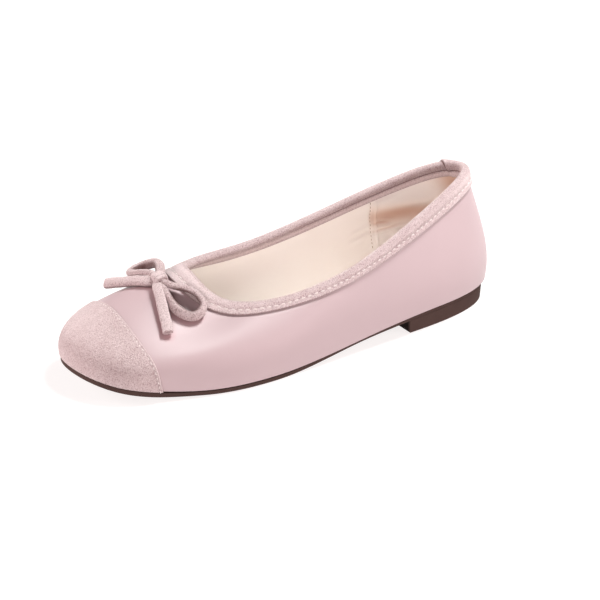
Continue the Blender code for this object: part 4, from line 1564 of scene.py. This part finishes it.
class BALLETFLAT_OT_suede(bpy.types.Operator):
    """Make the suede toe cap and collar binding"""

    bl_idname = "ballet_flat.suede"
    bl_label = "Toe Cap and Binding"

    def execute(self, context):
        finish = finish_of(context, "pink_split_suede")
        pitch = context.scene.flat_sewing.binding_pitch
        finish_piece(make_cap_mesh(), finish, "suede", "toe_cap")
        finish_piece(make_binding_mesh(pitch), finish, "suede", "collar_binding")
        return {"FINISHED"}


class BALLETFLAT_OT_bow(bpy.types.Operator):
    """Make the bow's knot, loops and tails"""

    bl_idname = "ballet_flat.bow"
    bl_label = "Bow"

    def execute(self, context):
        finish = finish_of(context, "pink_split_suede")
        finish_piece(make_knot_mesh(), finish, "suede", "bow_knot")
        for node, rows, radius, section_mm, cut_end in STRANDS:
            mesh = make_strand_mesh(node + "_suede", rows, radius, section_mm, cut_end)
            finish_piece(mesh, finish, "suede", node)
        return {"FINISHED"}


class BALLETFLAT_OT_sole(bpy.types.Operator):
    """Make the outsole and the heel block"""

    bl_idname = "ballet_flat.sole"
    bl_label = "Sole and Heel"

    def execute(self, context):
        finish = finish_of(context, "brown_rubber")
        finish_piece(make_outsole_mesh(), finish, "sole", "outsole")
        finish_piece(make_heel_mesh(), finish, "sole", "heel_block")
        return {"FINISHED"}


class BALLETFLAT_OT_stitches(bpy.types.Operator):
    """Sew the stitches of cap, binding and lining"""

    bl_idname = "ballet_flat.stitches"
    bl_label = "Stitches"

    def execute(self, context):
        sewing = context.scene.flat_sewing
        outside = [binding_stitch_line(False)]
        inside = [binding_stitch_line(True)]
        rows = (
            ("toe_cap_stitches", [cap_stitch_line()], False, "cap", "pink_thread", "suede"),
            ("binding_stitches_outside", outside, True, "binding", "pink_thread", "suede"),
            ("binding_stitches_inside", inside, True, "binding", "tonal_thread", "suede"),
            ("heel_lining_stitches", lining_stitch_lines(), False, "lining", "cream_thread", "lining"),
        )
        for name, lines, closed, seam, thread, slot in rows:
            sizes = {size: getattr(sewing, f"{seam}_{size.lower()}") for size in STITCH_SIZES}
            finish = finish_of(context, thread)
            finish_piece(make_stitch_mesh(name, lines, closed, sizes, finish), finish, slot)
        return {"FINISHED"}


def add_light(name, turn, rise, size, colour, power):
    """Square soft light in a direction from the shoe, facing it."""
    lamp = bpy.data.lights.new(name, "AREA")
    lamp.size = size
    lamp.color = linear(colour)
    lamp.energy = power
    towards = Vector((-math.sin(turn) * math.cos(rise), -math.cos(turn) * math.cos(rise), math.sin(rise)))
    light = bpy.data.objects.new(name, lamp)
    light.location = LIT_POINT + towards * LIGHT_DISTANCE
    light.rotation_euler = (-towards).to_track_quat("-Z", "Y").to_euler()
    bpy.context.scene.collection.objects.link(light)


class BALLETFLAT_OT_studio(bpy.types.Operator):
    """Make the floor, the lights and the camera"""

    bl_idname = "ballet_flat.studio"
    bl_label = "Studio"

    def execute(self, context):
        studio = context.scene.flat_studio
        self.add_floor(studio)
        self.add_lights(context, studio)
        self.add_camera(context, studio)
        return {"FINISHED"}

    def add_floor(self, studio):
        sides = (-FLOOR_HALF, FLOOR_HALF)
        corners = np.array([[(x, y, -FLOOR_BELOW) for x in sides[::-1]] for y in sides])
        mesh = grid_mesh("floor", corners, closed_columns=False, closed_rows=False)
        finish = new_finish("white_paper", {
            "Base Color": (*linear(FLOOR_PAPER), 1.0), "Roughness": 0.9, "Specular IOR Level": 0.2,
            "Emission Color": (*linear(FLOOR_LIGHT), 1.0), "Emission Strength": studio.table})[0]
        mesh.materials.append(finish)
        floor = bpy.data.objects.new("floor", mesh)
        bpy.context.scene.collection.objects.link(floor)

    def add_lights(self, context, studio):
        world = context.scene.world or bpy.data.worlds.new("white_room")
        context.scene.world = world
        world.use_nodes = True
        surround = world.node_tree.nodes["Background"].inputs
        surround["Color"].default_value = (*linear(SURROUND_COLOUR), 1.0)
        surround["Strength"].default_value = studio.surround
        for name, turn, rise, size, colour in LIGHTS:
            power = getattr(studio, name)
            add_light(name + "_light", math.radians(turn), math.radians(rise), size, colour, power)

    def add_camera(self, context, studio):
        context.scene.view_settings.view_transform = "Standard"
        turn = studio.azimuth
        rise = studio.elevation
        forward = Vector((math.sin(turn) * math.cos(rise), math.cos(turn) * math.cos(rise), -math.sin(rise)))
        right = Vector((math.cos(turn), -math.sin(turn), 0.0))
        up = right.cross(forward)
        shoe = CENTRE + Vector((0.0, 0.0, CAMERA_HEIGHT))
        aim = shoe + right * AIM_RIGHT - up * AIM_DOWN
        lens = bpy.data.cameras.new("camera")
        lens.lens = studio.lens
        lens.clip_end = 20.0
        camera = bpy.data.objects.new("camera", lens)
        camera.location = shoe - forward * studio.distance
        camera.rotation_euler = (aim - camera.location).to_track_quat("-Z", "Y").to_euler()
        context.scene.collection.objects.link(camera)
        context.scene.camera = camera


class BALLETFLAT_PT_parts(bpy.types.Panel):
    """The shoe's pieces, in the order in which they are made"""

    bl_label = "Ballet Flat"
    bl_idname = "BALLETFLAT_PT_parts"
    bl_space_type = "VIEW_3D"
    bl_region_type = "UI"
    bl_category = "Ballet Flat"

    def draw(self, context):
        for group in (context.scene.flat_sewing, context.scene.flat_colours, context.scene.flat_studio):
            box = self.layout.box()
            for name in group.bl_rna.properties.keys():
                if name not in {"rna_type", "name"}:
                    box.prop(group, name)
        for operator in OPERATORS:
            self.layout.operator(operator.bl_idname)


OPERATORS = (
    BALLETFLAT_OT_upper,
    BALLETFLAT_OT_lining,
    BALLETFLAT_OT_suede,
    BALLETFLAT_OT_bow,
    BALLETFLAT_OT_sole,
    BALLETFLAT_OT_stitches,
    BALLETFLAT_OT_studio,
)
GROUPS = {"flat_sewing": FlatSewing, "flat_colours": FlatColours, "flat_studio": FlatStudio}


def register():
    for name, group in GROUPS.items():
        bpy.utils.register_class(group)
        setattr(bpy.types.Scene, name, PointerProperty(type=group))
    for operator in OPERATORS:
        bpy.utils.register_class(operator)
    bpy.utils.register_class(BALLETFLAT_PT_parts)


def unregister():
    bpy.utils.unregister_class(BALLETFLAT_PT_parts)
    for operator in reversed(OPERATORS):
        bpy.utils.unregister_class(operator)
    for name, group in reversed(GROUPS.items()):
        delattr(bpy.types.Scene, name)
        bpy.utils.unregister_class(group)


def main():
    register()
    bpy.ops.ballet_flat.upper()
    bpy.ops.ballet_flat.lining()
    bpy.ops.ballet_flat.suede()
    bpy.ops.ballet_flat.bow()
    bpy.ops.ballet_flat.sole()
    bpy.ops.ballet_flat.stitches()
    bpy.ops.ballet_flat.studio()


if __name__ == "__main__":
    main()
